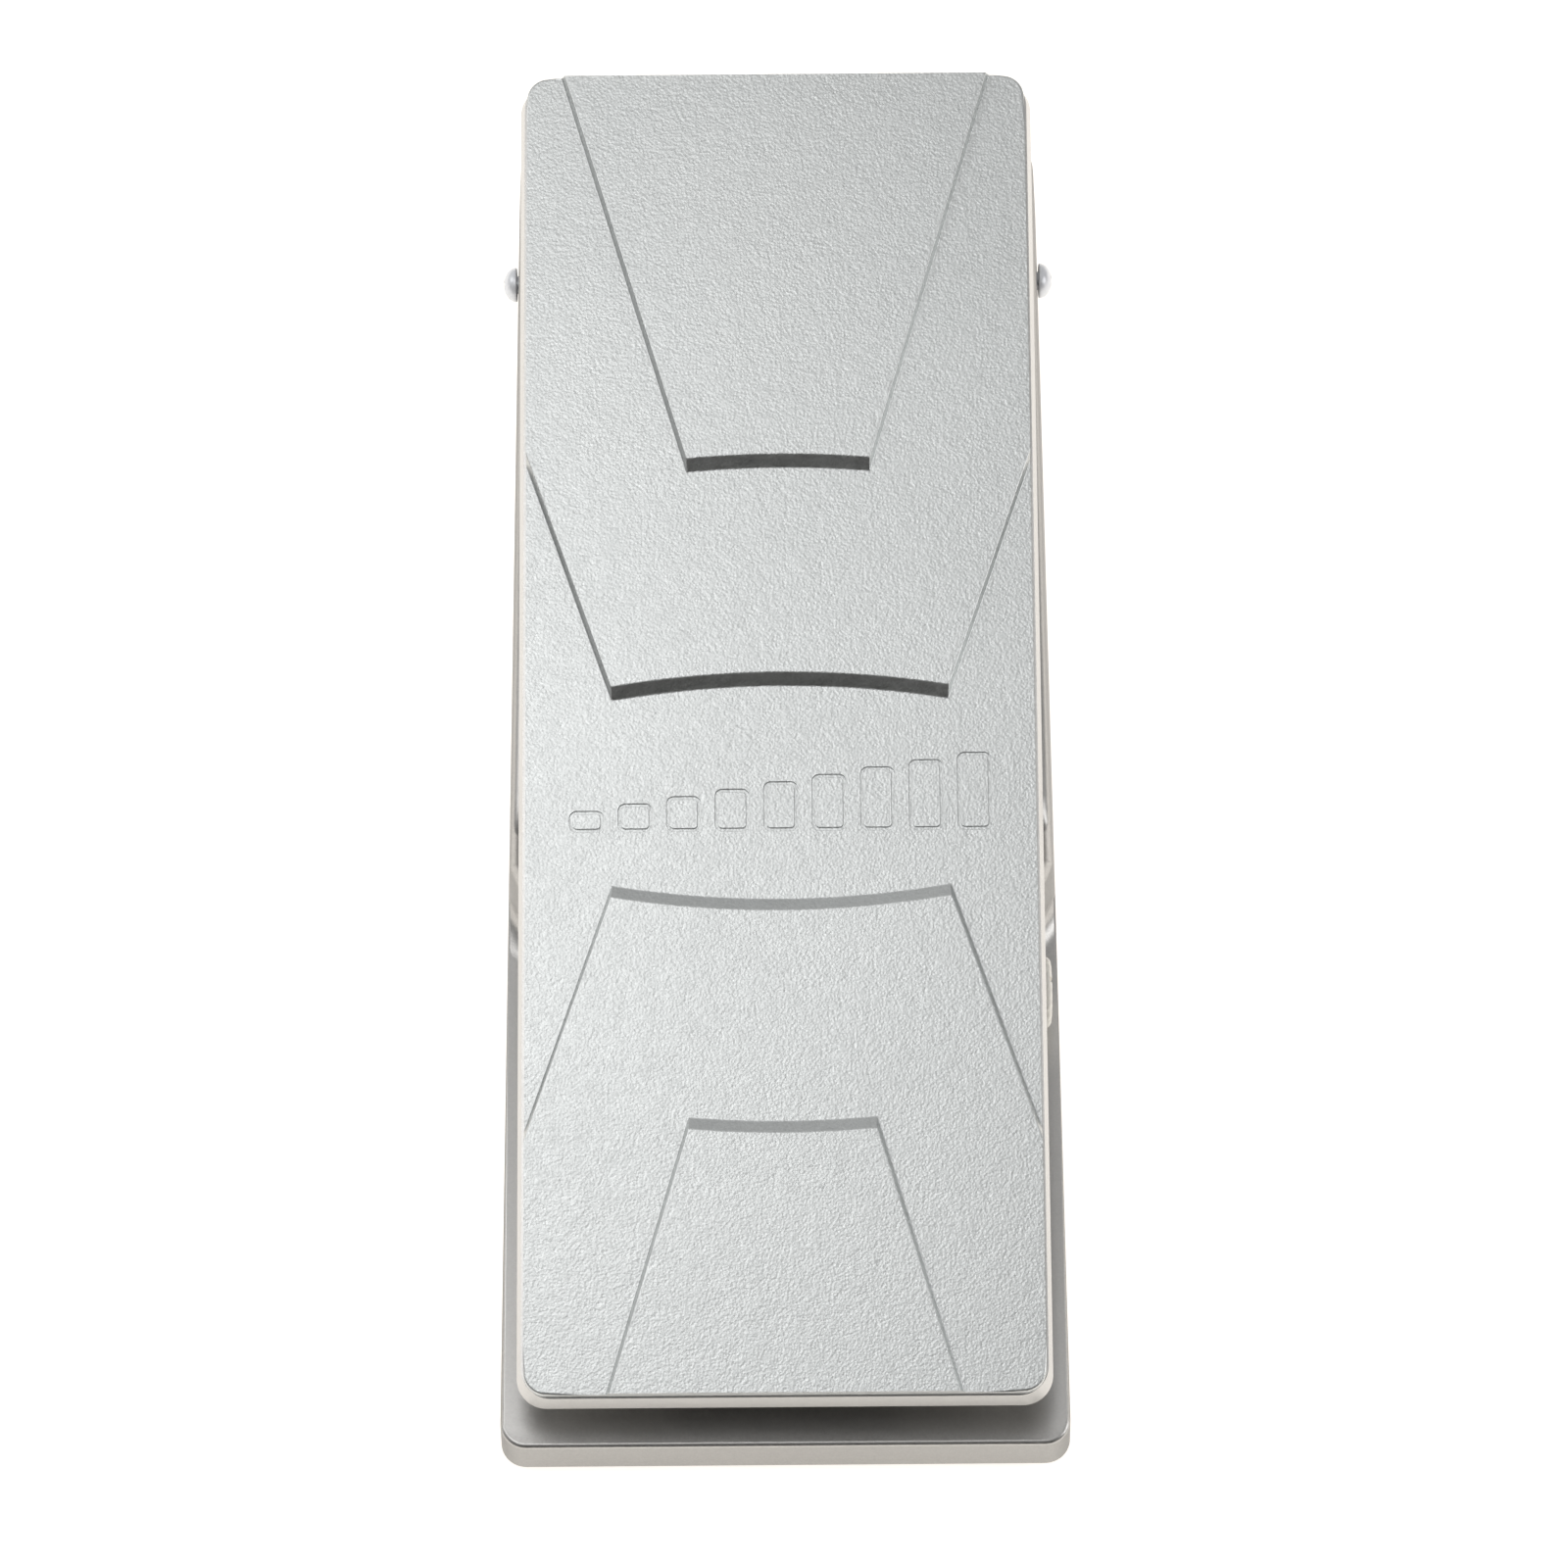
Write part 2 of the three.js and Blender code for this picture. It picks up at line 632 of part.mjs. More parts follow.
function ribs() {
  const cross = ribPlaces.map((y) =>
    box(-treadleHalf + 1.5, treadleHalf - 1.5, y, y + ribThick, ribBottom, plateUnder + 1),
  );
  const long = Object.values(sides).map((side) => {
    const [x0, x1] = span(side, lugX + 0.5, lugX + 0.5 + ribThick);
    return box(x0, x1, treadleHeel + 1.5, treadleToe - 1.5, ribBottom, plateUnder + 1);
  });
  return [...cross, ...long];
}

function treadleCasting() {
  const lean = skirtLean / (plateTop - skirtBottom);
  const pan = cut(
    drafted(treadleOutline(0), skirtBottom, plateTop, lean),
    drafted(treadleOutline(skirtThick - lean), skirtBottom - 1, plateUnder, lean),
  );
  const lugs = Object.values(sides).map((side) =>
    alongX(lugOutline(), ...span(side, lugX, lugX + lugThick), 6),
  );
  const lugMiddle = lugX + lugThick / 2;
  return cut(
    unite(pan, ...lugs, ...ribs()),
    rodX(shaftRadius + gap, -lugX - 2 * lugThick, lugX + 2 * lugThick, 0, 0, 24),
    ...Object.values(sides).map((side) => rodY(1.9, -lugRadius - through, 0, side * lugMiddle, 0, 12)),
    ...sectorScrewPlaces.map((y) => rodX(1.6, lugX - 1, lugX + lugThick - 1, y, sectorScrewZ, 12)),
  );
}
add(treadle, "treadle_casting", treadleCasting(), silverPaint);

// One raised panel: a bowed edge nearest the middle, sides slanting out past the end of the mat.
function panelShape({ from, half, opening }, end) {
  const reach = 200;
  const sagitta = panelBow - Math.sqrt(panelBow ** 2 - half ** 2);
  const swing = Math.asin(half / panelBow);
  const middle = (end * Math.PI) / 2;
  const centreY = matMiddle + end * (from - panelBow);
  const far = matMiddle + end * (from - sagitta + reach);
  const shape = new THREE.Shape();
  shape.absarc(0, centreY, panelBow, middle - end * swing, middle + end * swing, end < 0);
  shape.lineTo(-half - reach * opening, far);
  shape.lineTo(half + reach * opening, far);
  return shape;
}

function treadMat() {
  const outline = treadleOutline(matInset);
  const slab = upwards(outline, plateTop + gap, matLow);
  const within = upwards(outline, plateTop + gap, matLow + matStep * (panels.length + 1));
  const raised = panels.flatMap((panel, level) => {
    const top = matLow + matStep * (level + 1);
    return Object.values(sides).map((end) => upwards(panelShape(panel, end), matLow - 0.5, top, 4));
  });
  return unite(slab, ...raised.map((panel) => panel.intersect(within)));
}
add(treadle, "tread_mat", treadMat(), matRubber);

function pivotShaft() {
  const end = pillarX + pillarThick + 3;
  const sockets = Object.values(sides).map((side) => rodX(1.6, side * end - 1, side * end + 1, 0, 0, 6));
  return cut(rodX(shaftRadius, -end, end, 0, 0, 24), ...sockets);
}
add(treadle, "pivot_shaft", pivotShaft(), steel);

for (const [name, side] of Object.entries(sides)) {
  const x = side * (lugX + lugThick / 2);
  const head = -lugRadius + 0.6;
  const driveHole = rodY(0.8, head - 1, head + 1.6, x, 0, 6);
  const setScrew = cut(rodY(1.6, head, -shaftRadius - gap, x, 0, 12), driveHole);
  add(treadle, `shaft_set_screw_${name}`, setScrew, blackSteel);
}

// ---- toothed sector and pinion ----
// One tooth of an involute gear, as points around its outline.
function toothPoints(radius, centre) {
  const baseRadius = radius * Math.cos(pressure);
  const involute = (r) => {
    const angle = Math.acos(Math.min(1, baseRadius / r));
    return Math.tan(angle) - angle;
  };
  const halfAtPitch = (Math.PI * toothModule) / 4 - backlash / 4;
  const halfAngle = (r) => halfAtPitch / radius + involute(radius) - involute(Math.max(r, baseRadius));
  const root = radius - toothModule * 1.25;
  const tip = radius + toothModule * 0.92;
  const radii = [root, Math.max(baseRadius, root + 0.2), radius, tip];
  const rise = radii.map((r) => [r, centre - halfAngle(r)]);
  const fall = [...radii].reverse().map((r) => [r, centre + halfAngle(r)]);
  return [...rise, ...fall].map(([r, angle]) => new THREE.Vector2(r * Math.cos(angle), r * Math.sin(angle)));
}

// Teeth from lowest to highest, then the arm up along the yoke lug and round the shaft.
function sectorShape() {
  const toothAngle = (Math.PI * 2) / sectorTeethRound;
  const armTop = 14;
  const points = [];
  for (let i = sectorTeeth.first; i <= sectorTeeth.last; i++) {
    points.push(...toothPoints(sectorRadius, meshAngle - tilt + i * toothAngle));
  }
  const shape = new THREE.Shape(points);
  shape.lineTo(lugRadius, armTop);
  shape.lineTo(-lugRadius, armTop);
  shape.absarc(0, 0, lugRadius, Math.PI, Math.PI * 1.6);
  return shape;
}

function gearSector() {
  const plate = alongX(sectorShape(), sectorX, sectorEnd, 8);
  const holes = sectorScrewPlaces.map((y) => rodX(1.6, sectorX - 1, lugX, y, sectorScrewZ, 12));
  return cut(plate, rodX(shaftRadius + gap, sectorX - 1, lugX, 0, 0, 24), ...holes);
}
add(treadle, "gear_sector", gearSector(), brass);

sectorScrewPlaces.forEach((y, i) => {
  const head = rodX(2.6, sectorX - 1.9, sectorX - gap, y, sectorScrewZ, 14);
  const shank = rodX(1.3, sectorX - 1, lugX + 4, y, sectorScrewZ, 8);
  add(treadle, `sector_screw_${i + 1}`, head.add(shank), steel);
});

// The pinion has a gap between teeth where the sector's first tooth stands, heel-down.
function potPinion() {
  const points = [];
  for (let i = 0; i < pinionTeeth; i++) {
    const turn = (i + 0.5) * ((Math.PI * 2) / pinionTeeth);
    points.push(...toothPoints(pinionRadius, meshAngle + Math.PI + turn));
  }
  const blank = alongX(new THREE.Shape(points), sectorX - 0.5, sectorEnd + 0.5);
  return cut(blank, rodX(spindleRadius + gap, sectorX - through, sectorEnd + through, 0, 0, 16));
}
add(potRotor, "pot_pinion", potPinion(), nylon);
add(potRotor, "volume_pot_spindle", rodX(spindleRadius, 0.5, sectorEnd + 1, 0, 0, 16), steel);

// ---- minimum-volume knob ----
function flutedOutline() {
  const flute = 0.25;
  const steps = knobFlutes * 4;
  const points = Array.from({ length: steps }, (_, i) => {
    const angle = (i / steps) * Math.PI * 2;
    const r = knobRadius - flute + flute * Math.cos(knobFlutes * angle);
    return new THREE.Vector2(r * Math.cos(angle), r * Math.sin(angle));
  });
  return new THREE.Shape(points);
}

function minVolumeKnob() {
  return cut(
    alongX(flutedOutline(), knobStart, knobEnd),
    rodX(5.6, knobStart - 1, knobStart + 2.4, 0, 0, 20),
    rodX(spindleRadius + gap, knobStart, knobEnd - 1.4, 0, 0, 16),
    box(knobEnd - 0.6, knobEnd + 1, -0.6, 0.6, 1, knobRadius + 1),
  );
}
add(knob, "min_volume_knob", minVolumeKnob(), ivory);
add(knob, "min_volume_spindle", rodX(spindleRadius, 34.5, knobEnd - 1.8, 0, 0, 16), steel);

export default pedal;
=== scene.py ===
"""A volume pedal, finished: a die-cast base, a rocking treadle under a stepped rubber tread, and the
knob, screws, jacks and works that go with them. Metres, +X to the player's right, +Y to the toe end."""

import json
import math

import bmesh
import bpy
from bpy.props import FloatProperty, FloatVectorProperty, IntProperty, PointerProperty
from mathutils import Matrix, Vector


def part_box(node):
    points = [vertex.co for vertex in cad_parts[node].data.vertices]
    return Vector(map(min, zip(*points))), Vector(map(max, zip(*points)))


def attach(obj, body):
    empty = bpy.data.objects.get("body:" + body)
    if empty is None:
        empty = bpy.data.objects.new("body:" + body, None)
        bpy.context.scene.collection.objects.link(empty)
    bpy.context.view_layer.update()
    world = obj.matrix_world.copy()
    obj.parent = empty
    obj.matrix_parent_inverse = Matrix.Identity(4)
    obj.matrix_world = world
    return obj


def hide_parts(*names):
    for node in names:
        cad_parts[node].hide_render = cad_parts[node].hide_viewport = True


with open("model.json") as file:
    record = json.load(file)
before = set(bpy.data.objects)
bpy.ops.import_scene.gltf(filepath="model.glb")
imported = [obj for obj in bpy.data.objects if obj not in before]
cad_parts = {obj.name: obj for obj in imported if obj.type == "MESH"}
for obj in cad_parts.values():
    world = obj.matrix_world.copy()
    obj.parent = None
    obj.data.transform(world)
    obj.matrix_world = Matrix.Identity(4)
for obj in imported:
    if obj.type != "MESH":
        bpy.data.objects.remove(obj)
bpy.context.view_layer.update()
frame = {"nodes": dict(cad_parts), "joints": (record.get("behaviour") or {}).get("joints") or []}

bl_info = {
    "name": "Volume pedal",
    "version": (1, 0, 0),
    "blender": (4, 5, 0),
    "location": "3D View > Sidebar > Pedal",
    "description": "Builds the finished pieces of a volume pedal around its CAD frame",
    "category": "Object",
}

MM = 0.001
SHARP = math.radians(32)  # corners sharper than this stay crisp under smooth shading

ROCK = next(joint for joint in frame["joints"] if joint["name"] == "treadle_rock")
PIVOT = Vector(ROCK["pos_m"])
JACKS = ("expression", "tuner", "output_b", "output_a", "input_b", "input_a")
HANDS = {"left": -1, "right": 1}
JACK_PITCH = 15.8

SHOULDER_RADIUS = 19 * MM
SHOULDER_AXIS = (36 * MM, -24.5 * MM)  # upright axis of the right shoulder's round
FLANK_AT_DECK = 54.25 * MM  # how far out the side wall stands at the height of the deck


# ---- solids ----
def new_piece(name, form):
    """A mesh object in the scene from a bmesh."""
    mesh = bpy.data.meshes.new(name)
    form.to_mesh(mesh)
    form.free()
    piece = bpy.data.objects.new(name, mesh)
    bpy.context.scene.collection.objects.link(piece)
    return piece


def loft(loops):
    """A closed skin over loops that have the same number of points, capped at both ends."""
    form = bmesh.new()
    rows = [[form.verts.new(point) for point in loop] for loop in loops]
    for low, high in zip(rows, rows[1:]):
        for i in range(len(low)):
            j = (i + 1) % len(low)
            form.faces.new((low[i], low[j], high[j], high[i]))
    form.faces.new(rows[0][::-1])
    form.faces.new(rows[-1])
    bmesh.ops.recalc_face_normals(form, faces=form.faces)
    return form


def prism(outline, bottom, top):
    """An outline of (x, y) points pulled up from one height to another."""
    return loft([[(x, y, z) for x, y in outline] for z in (bottom, top)])


def lathe(profile, sides, ripple=None):
    """A solid turned about Z from (radius, height) pairs in millimetres that start and end on the axis.
    ripple takes a radius and an angle, both of the turned point, and returns the radius there."""
    form = bmesh.new()
    rows = []
    for radius, height in profile:
        if radius == 0:
            rows.append([form.verts.new((0, 0, height * MM))])
            continue
        row = []
        for i in range(sides):
            angle = math.tau * i / sides
            reach = (ripple(radius, angle) if ripple else radius) * MM
            row.append(form.verts.new((reach * math.cos(angle), reach * math.sin(angle), height * MM)))
        rows.append(row)
    for low, high in zip(rows, rows[1:]):
        for i in range(sides):
            j = (i + 1) % sides
            ring = [low[i % len(low)], low[j % len(low)], high[j % len(high)], high[i % len(high)]]
            ring = list(dict.fromkeys(ring))
            if len(ring) > 2:
                form.faces.new(ring)
    bmesh.ops.recalc_face_normals(form, faces=form.faces)
    return form


def block(low, high, bevel=0.0):
    """A box in millimetres between two corners, its edges rounded."""
    form = bmesh.new()
    bmesh.ops.create_cube(form, size=1)
    for vert in form.verts:
        vert.co = [MM * (a if c < 0 else b) for a, b, c in zip(low, high, vert.co)]
    bmesh.ops.recalc_face_normals(form, faces=form.faces)
    if bevel:
        bmesh.ops.bevel(form, geom=form.edges[:], offset=bevel * MM, segments=3, profile=0.5, affect="EDGES")
    return form


def rounded_rectangle(low, high, radius, steps):
    """Points around a rectangle with round corners, from its low and high corners."""
    corners = [
        (high[0] - radius, low[1] + radius, -90),
        (high[0] - radius, high[1] - radius, 0),
        (low[0] + radius, high[1] - radius, 90),
        (low[0] + radius, low[1] + radius, 180),
    ]
    points = []
    for x, y, start in corners:
        for i in range(steps + 1):
            angle = math.radians(start + 90 * i / steps)
            points.append((x + radius * math.cos(angle), y + radius * math.sin(angle)))
    return points


def combine(body, tools, operation="DIFFERENCE"):
    """Cuts, joins or intersects a piece with each tool, and removes the tools."""
    for tool in tools:
        step = body.modifiers.new("combine", "BOOLEAN")
        step.operation = operation
        step.solver = "EXACT"
        step.object = tool
    apply_modifiers(body)
    for tool in tools:
        bpy.data.objects.remove(tool)
    return body


def apply_modifiers(piece):
    graph = bpy.context.evaluated_depsgraph_get()
    shape = bpy.data.meshes.new_from_object(piece.evaluated_get(graph))
    piece.modifiers.clear()
    piece.data = shape


def round_over(form, edges, radius, segments=3):
    """Rounds some of a bmesh's edges: a fillet where they are hollow, a round where they stand out."""
    bmesh.ops.bevel(
        form,
        geom=edges,
        offset=radius,
        segments=segments,
        profile=0.5,
        affect="EDGES",
        clamp_overlap=False,
        loop_slide=False,
    )


def clean(form):
    """Joins coincident points and clears slivers that a cut leaves."""
    bmesh.ops.remove_doubles(form, verts=form.verts, dist=0.002 * MM)
    bmesh.ops.dissolve_degenerate(form, edges=form.edges, dist=0.002 * MM)
    bmesh.ops.dissolve_limit(
        form,
        angle_limit=math.radians(0.3),
        use_dissolve_boundaries=False,
        verts=form.verts,
        edges=form.edges,
    )


def reshape(piece, change):
    """Runs a change on a piece's mesh as a bmesh."""
    form = bmesh.new()
    form.from_mesh(piece.data)
    change(form)
    form.to_mesh(piece.data)
    form.free()


def shell_of(node):
    """A CAD node's surface as a bmesh, its triangles joined into whole flat faces."""
    source = frame["nodes"][node].data
    form = bmesh.new()
    corners = {}
    for polygon in source.polygons:
        ring = []
        for index in polygon.vertices:
            place = tuple(round(value, 7) for value in source.vertices[index].co)
            if place not in corners:
                corners[place] = form.verts.new(place)
            ring.append(corners[place])
        if len(set(ring)) == len(ring):
            form.faces.new(ring)
    clean(form)
    return form


def turn_edges(form, faces, angle):
    """The edges between two of these faces that bend by more than an angle."""
    picked = []
    for edge in form.edges:
        if len(edge.link_faces) != 2:
            continue
        if edge.link_faces[0] in faces and edge.link_faces[1] in faces and edge.calc_face_angle() > angle:
            picked.append(edge)
    return picked


def spread_from(start, is_open):
    """Every face reached from one face across edges, through faces that is_open allows."""
    found = {start}
    waiting = [start]
    while waiting:
        face = waiting.pop()
        for edge in face.edges:
            for near in edge.link_faces:
                if near not in found and is_open(near):
                    found.add(near)
                    waiting.append(near)
    return found


def settle(piece, finish, body, nodes=(), weighted=True):
    """Shades, paints and mounts a finished piece, and hides the CAD nodes it stands for."""
    piece.data.materials.clear()
    piece.data.materials.append(finish)
    piece.data.shade_smooth()
    piece.data.set_sharp_from_angle(angle=SHARP)
    if weighted:
        normals = piece.modifiers.new("flat_faces_flat", "WEIGHTED_NORMAL")
        normals.keep_sharp = True
    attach(piece, body)
    if nodes:
        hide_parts(*nodes)
    return piece


def treadle_place(tilt):
    """From the treadle's own frame, on its pivot and level, to where it stands heel-down."""
    return Matrix.Translation(PIVOT) @ Matrix.Rotation(tilt, 4, "X")


# ---- shader writing ----
class Wire:
    """A value on its way to a socket. Sums and products of wires write the Math nodes."""

    def __init__(self, finish, socket):
        self.finish = finish
        self.socket = socket

    def __add__(self, other):
        return self.finish.maths("ADD", self, other)

    __radd__ = __add__

    def __mul__(self, other):
        return self.finish.maths("MULTIPLY", self, other)

    __rmul__ = __mul__

    def __sub__(self, other):
        return self.finish.maths("SUBTRACT", self, other)

    def __rsub__(self, other):
        return self.finish.maths("SUBTRACT", other, self)

    def __pow__(self, other):
        return self.finish.maths("POWER", self, other)


class NodeWriter:
    """Writes nodes into one node tree."""

    def __init__(self, tree):
        self.tree = tree
        tree.nodes.clear()

    def node(self, kind, settings=None, inputs=None, output=None):
        """Adds a node: its settings first, then the values or wires of its sockets."""
        made = self.tree.nodes.new(kind)
        for key, value in (settings or {}).items():
            if key == "stops":
                self.set_stops(made.color_ramp, value)
            else:
                setattr(made, key, value)
        for key, value in (inputs or {}).items():
            socket = made.inputs[key] if isinstance(key, int) else self.live(made.inputs, key)
            self.plug(value, socket)
        return Wire(self, self.live(made.outputs, output))

    def plug(self, value, socket):
        if isinstance(value, Wire):
            self.tree.links.new(value.socket, socket)
        else:
            socket.default_value = value

    @staticmethod
    def live(sockets, name):
        """The first socket in use, or the one in use with this name."""
        return next(s for s in sockets if s.enabled and name in (None, s.name))

    @staticmethod
    def set_stops(ramp, stops):
        while len(ramp.elements) < len(stops):
            ramp.elements.new(1)
        for element, (position, value) in zip(ramp.elements, stops):
            element.position = position
            element.color = (value, value, value, 1)

    def maths(self, operation, first, second):
        return self.node("ShaderNodeMath", {"operation": operation}, {0: first, 1: second})

    def ramp(self, value, *stops):
        """A grey ramp through (position, value) stops."""
        return self.node("ShaderNodeValToRGB", {"stops": stops}, {"Fac": value})

    def blend(self, first, second, share):
        """One colour fading into another."""
        return self.node(
            "ShaderNodeMix", {"data_type": "RGBA"}, {"A": first, "B": second, "Factor": share}
        )


class Finish(NodeWriter):
    """One procedural material, whose patterns are sized in metres on the object itself."""

    def __init__(self, name, **sockets):
        self.material = bpy.data.materials.new(name)
        self.material.use_nodes = True
        super().__init__(self.material.node_tree)
        self.place = self.node("ShaderNodeTexCoord", output="Object")
        self.shader = self.tree.nodes.new("ShaderNodeBsdfPrincipled")
        for name_of, value in sockets.items():
            self.shader.inputs[name_of.replace("_", " ")].default_value = value
        end = self.tree.nodes.new("ShaderNodeOutputMaterial")
        self.tree.links.new(self.shader.outputs[0], end.inputs["Surface"])
        self.normal = None

    def feed(self, name, value):
        self.plug(value, self.shader.inputs[name])

    def stretched(self, scale):
        """The object's own coordinates, drawn out along an axis to make brush marks."""
        return self.node("ShaderNodeMapping", {}, {"Vector": self.place, "Scale": scale})

    def grain(self, size, detail=2.0, rough=0.5, place=None):
        """Soft blotches about this big, from 0 to 1."""
        return self.node(
            "ShaderNodeTexNoise",
            {},
            {"Vector": place or self.place, "Scale": 1 / size, "Detail": detail, "Roughness": rough},
        )

    def cells(self, size, place=None):
        """Rounded cells about this big: 0 at their middles, rising to their edges."""
        return self.node(
            "ShaderNodeTexVoronoi", {}, {"Vector": place or self.place, "Scale": 1 / size}, "Distance"
        )

    def fleck(self, size):
        """A flat random value for each cell."""
        colour = self.node("ShaderNodeTexVoronoi", {}, {"Vector": self.place, "Scale": 1 / size}, "Color")
        return self.node("ShaderNodeSeparateColor", {}, {"Color": colour}, "Red")

    def edges(self, low, high):
        """0 on flats, rising to 1 along outside edges."""
        sharpness = self.node("ShaderNodeNewGeometry", output="Pointiness")
        return self.ramp(sharpness, (low, 0), (high, 1))

    def relief(self, height, depth):
        """Presses a pattern into the surface; depth is in metres."""
        inputs = {"Height": height, "Strength": 1.0, "Distance": depth}
        if self.normal:
            inputs["Normal"] = self.normal
        self.normal = self.node("ShaderNodeBump", {}, inputs)
        self.feed("Normal", self.normal)


# ---- finishes ----
def shade_of(colour, factor):
    """A colour made lighter or darker."""
    return [min(1, value * factor) for value in colour[:3]] + [1]


def silver_paint(name, colour, grazing_shade=1.0):
    """Silver enamel over die-cast aluminium: fine metal flake, slight orange peel, lighter and glossier
    outside edges.
    grazing_shade below 1 dims the sheen of walls seen almost edge on: painted shade."""
    # A specular tint below 1 darkens the glancing reflection: painted shade on walls seen edge on.
    finish = Finish(name, Metallic=0.9, Specular_Tint=(grazing_shade, grazing_shade, grazing_shade, 1))
    flake = finish.fleck(0.00034)
    speck = finish.grain(0.0007, 3)
    cloud = finish.grain(0.03, 2)
    # Base colour lighter and roughness lower along outside edges.
    edge_lift = finish.edges(0.52, 0.6)
    tone = 0.35 * flake + 0.45 * speck + 0.2 * cloud
    body = finish.blend(shade_of(colour, 0.84), shade_of(colour, 1.14), tone)
    finish.feed("Base Color", finish.blend(body, shade_of(colour, 1.2), 0.5 * edge_lift))
    finish.feed("Roughness", 0.36 + 0.1 * (speck - 0.5) + 0.06 * (cloud - 0.5) - 0.05 * edge_lift)
    finish.relief(finish.grain(0.0016, 1), 0.012 * MM)
    finish.relief(speck, 0.012 * MM)
    return finish.material


def dry_silver_paint(name, colour):
    """The treadle's enamel for the base, its glancing reflection dimmed: painted shade on the side walls."""
    return silver_paint(name, colour, 0.42)


def tread_skin(name, colour):
    """Moulded rubber with a silver skin: a pebbled grain that sparkles, cloudy at a larger scale."""
    finish = Finish(name, Metallic=0.96)
    pebble = finish.cells(0.00055)
    speck = finish.grain(0.0008, 3, 0.6)
    blotch = finish.grain(0.0035, 3, 0.55)
    cloud = finish.grain(0.045, 1)
    flake = finish.fleck(0.0004)
    tone = 0.24 * flake + 0.34 * speck + 0.26 * blotch + 0.16 * cloud
    finish.feed("Base Color", finish.blend(shade_of(colour, 0.76), shade_of(colour, 1.22), tone))
    finish.feed("Roughness", 0.38 + 0.16 * (speck - 0.5) + 0.1 * (blotch - 0.5))
    finish.relief(blotch, 0.05 * MM)
    finish.relief(0.6 * pebble + 0.8 * speck, 0.055 * MM)
    return finish.material


def powder_coat(name, colour):
    """Black powder coat with a coarse orange peel."""
    finish = Finish(name, Metallic=0.0, Specular_IOR_Level=0.5)
    peel = finish.grain(0.0009, 2)
    dust = finish.grain(0.02, 4, 0.65)
    finish.feed("Base Color", finish.blend(shade_of(colour, 0.8), shade_of(colour, 1.7), dust * peel))
    finish.feed("Roughness", 0.42 + 0.2 * (peel - 0.5) + 0.1 * dust)
    finish.relief(peel, 0.08 * MM)
    return finish.material


def moulded_rubber(name, colour):
    """Matt black rubber with a fine bloom."""
    finish = Finish(name, Specular_IOR_Level=0.35)
    bloom = finish.grain(0.004, 5, 0.7)
    pits = finish.grain(0.0005, 2)
    finish.feed("Base Color", finish.blend(shade_of(colour, 0.8), shade_of(colour, 2.2), bloom))
    finish.feed("Roughness", 0.72 + 0.2 * (bloom - 0.5))
    finish.relief(pits, 0.03 * MM)
    return finish.material


def moulded_plastic(name, colour, gloss=0.4, sheen=1.5):
    """Injection-moulded plastic: a spark-eroded texture and faint flow marks."""
    finish = Finish(name, Specular_IOR_Level=0.5)
    flow = finish.grain(0.006, 3, 0.6)
    spark = finish.grain(0.0004, 2)
    finish.feed("Base Color", finish.blend(shade_of(colour, 1 / sheen), shade_of(colour, sheen), flow))
    finish.feed("Roughness", gloss + 0.14 * (flow - 0.5) + 0.08 * (spark - 0.5))
    finish.relief(spark, 0.012 * MM)
    return finish.material


def cream_plastic(name, colour):
    return moulded_plastic(name, colour, 0.38, 1.05)


def nylon(name, colour):
    return moulded_plastic(name, colour, 0.5, 1.08)


def nickel_plate(name, colour):
    """Bright nickel with the faint waviness of plating and a few fine scuffs, mostly diffuse: its bright
    bluish white is partly the nickel's colour and partly a painted reflection of the white surroundings.
    """
    # A low metallic share shows the bright colour under any lamp: painted reflection of the white
    # surroundings.
    finish = Finish(name, Metallic=0.3)
    wave = finish.grain(0.003, 2)
    scuff = finish.grain(0.0006, 4, 0.7, finish.stretched((1, 0.15, 1)))
    finish.feed("Base Color", finish.blend(shade_of(colour, 0.9), shade_of(colour, 1.08), wave))
    finish.feed("Roughness", 0.3 + 0.2 * scuff ** 2)
    finish.relief(wave, 0.012 * MM)
    return finish.material


def zinc_steel(name, colour):
    """Zinc-plated steel: brushed one way, mottled by the passivation."""
    finish = Finish(name, Metallic=1.0)
    brush = finish.grain(0.0003, 2, 0.5, finish.stretched((0.08, 1, 1)))
    mottle = finish.grain(0.008, 4, 0.6)
    tone = 0.6 * mottle + 0.4 * brush
    finish.feed("Base Color", finish.blend(shade_of(colour, 0.78), shade_of(colour, 1.18), tone))
    finish.feed("Roughness", 0.26 + 0.16 * brush + 0.12 * (mottle - 0.5))
    finish.relief(brush, 0.01 * MM)
    return finish.material


def dull_brass(name, colour):
    """Brass with turning marks and a light tarnish."""
    finish = Finish(name, Metallic=1.0)
    tarnish = finish.grain(0.005, 5, 0.65)
    turning = finish.grain(0.00025, 1, 0.5, finish.stretched((1, 0.1, 0.1)))
    finish.feed("Base Color", finish.blend(shade_of(colour, 0.6), shade_of(colour, 1.15), tarnish))
    finish.feed("Roughness", 0.26 + 0.2 * tarnish + 0.08 * turning)
    finish.relief(turning, 0.01 * MM)
    return finish.material


def solder_mask(name, colour):
    """Green mask over glass cloth, with copper runs showing through."""
    finish = Finish(name, Specular_IOR_Level=0.6)
    wide = finish.cells(0.006)
    runs = finish.ramp(wide, (0.42, 0), (0.5, 1))
    weave = finish.grain(0.0006, 2)
    finish.feed("Base Color", finish.blend(shade_of(colour, 0.8), shade_of(colour, 1.6), runs))
    finish.feed("Roughness", 0.28 + 0.14 * weave)
    finish.relief(runs, 0.03 * MM)
    finish.relief(weave, 0.006 * MM)
    return finish.material


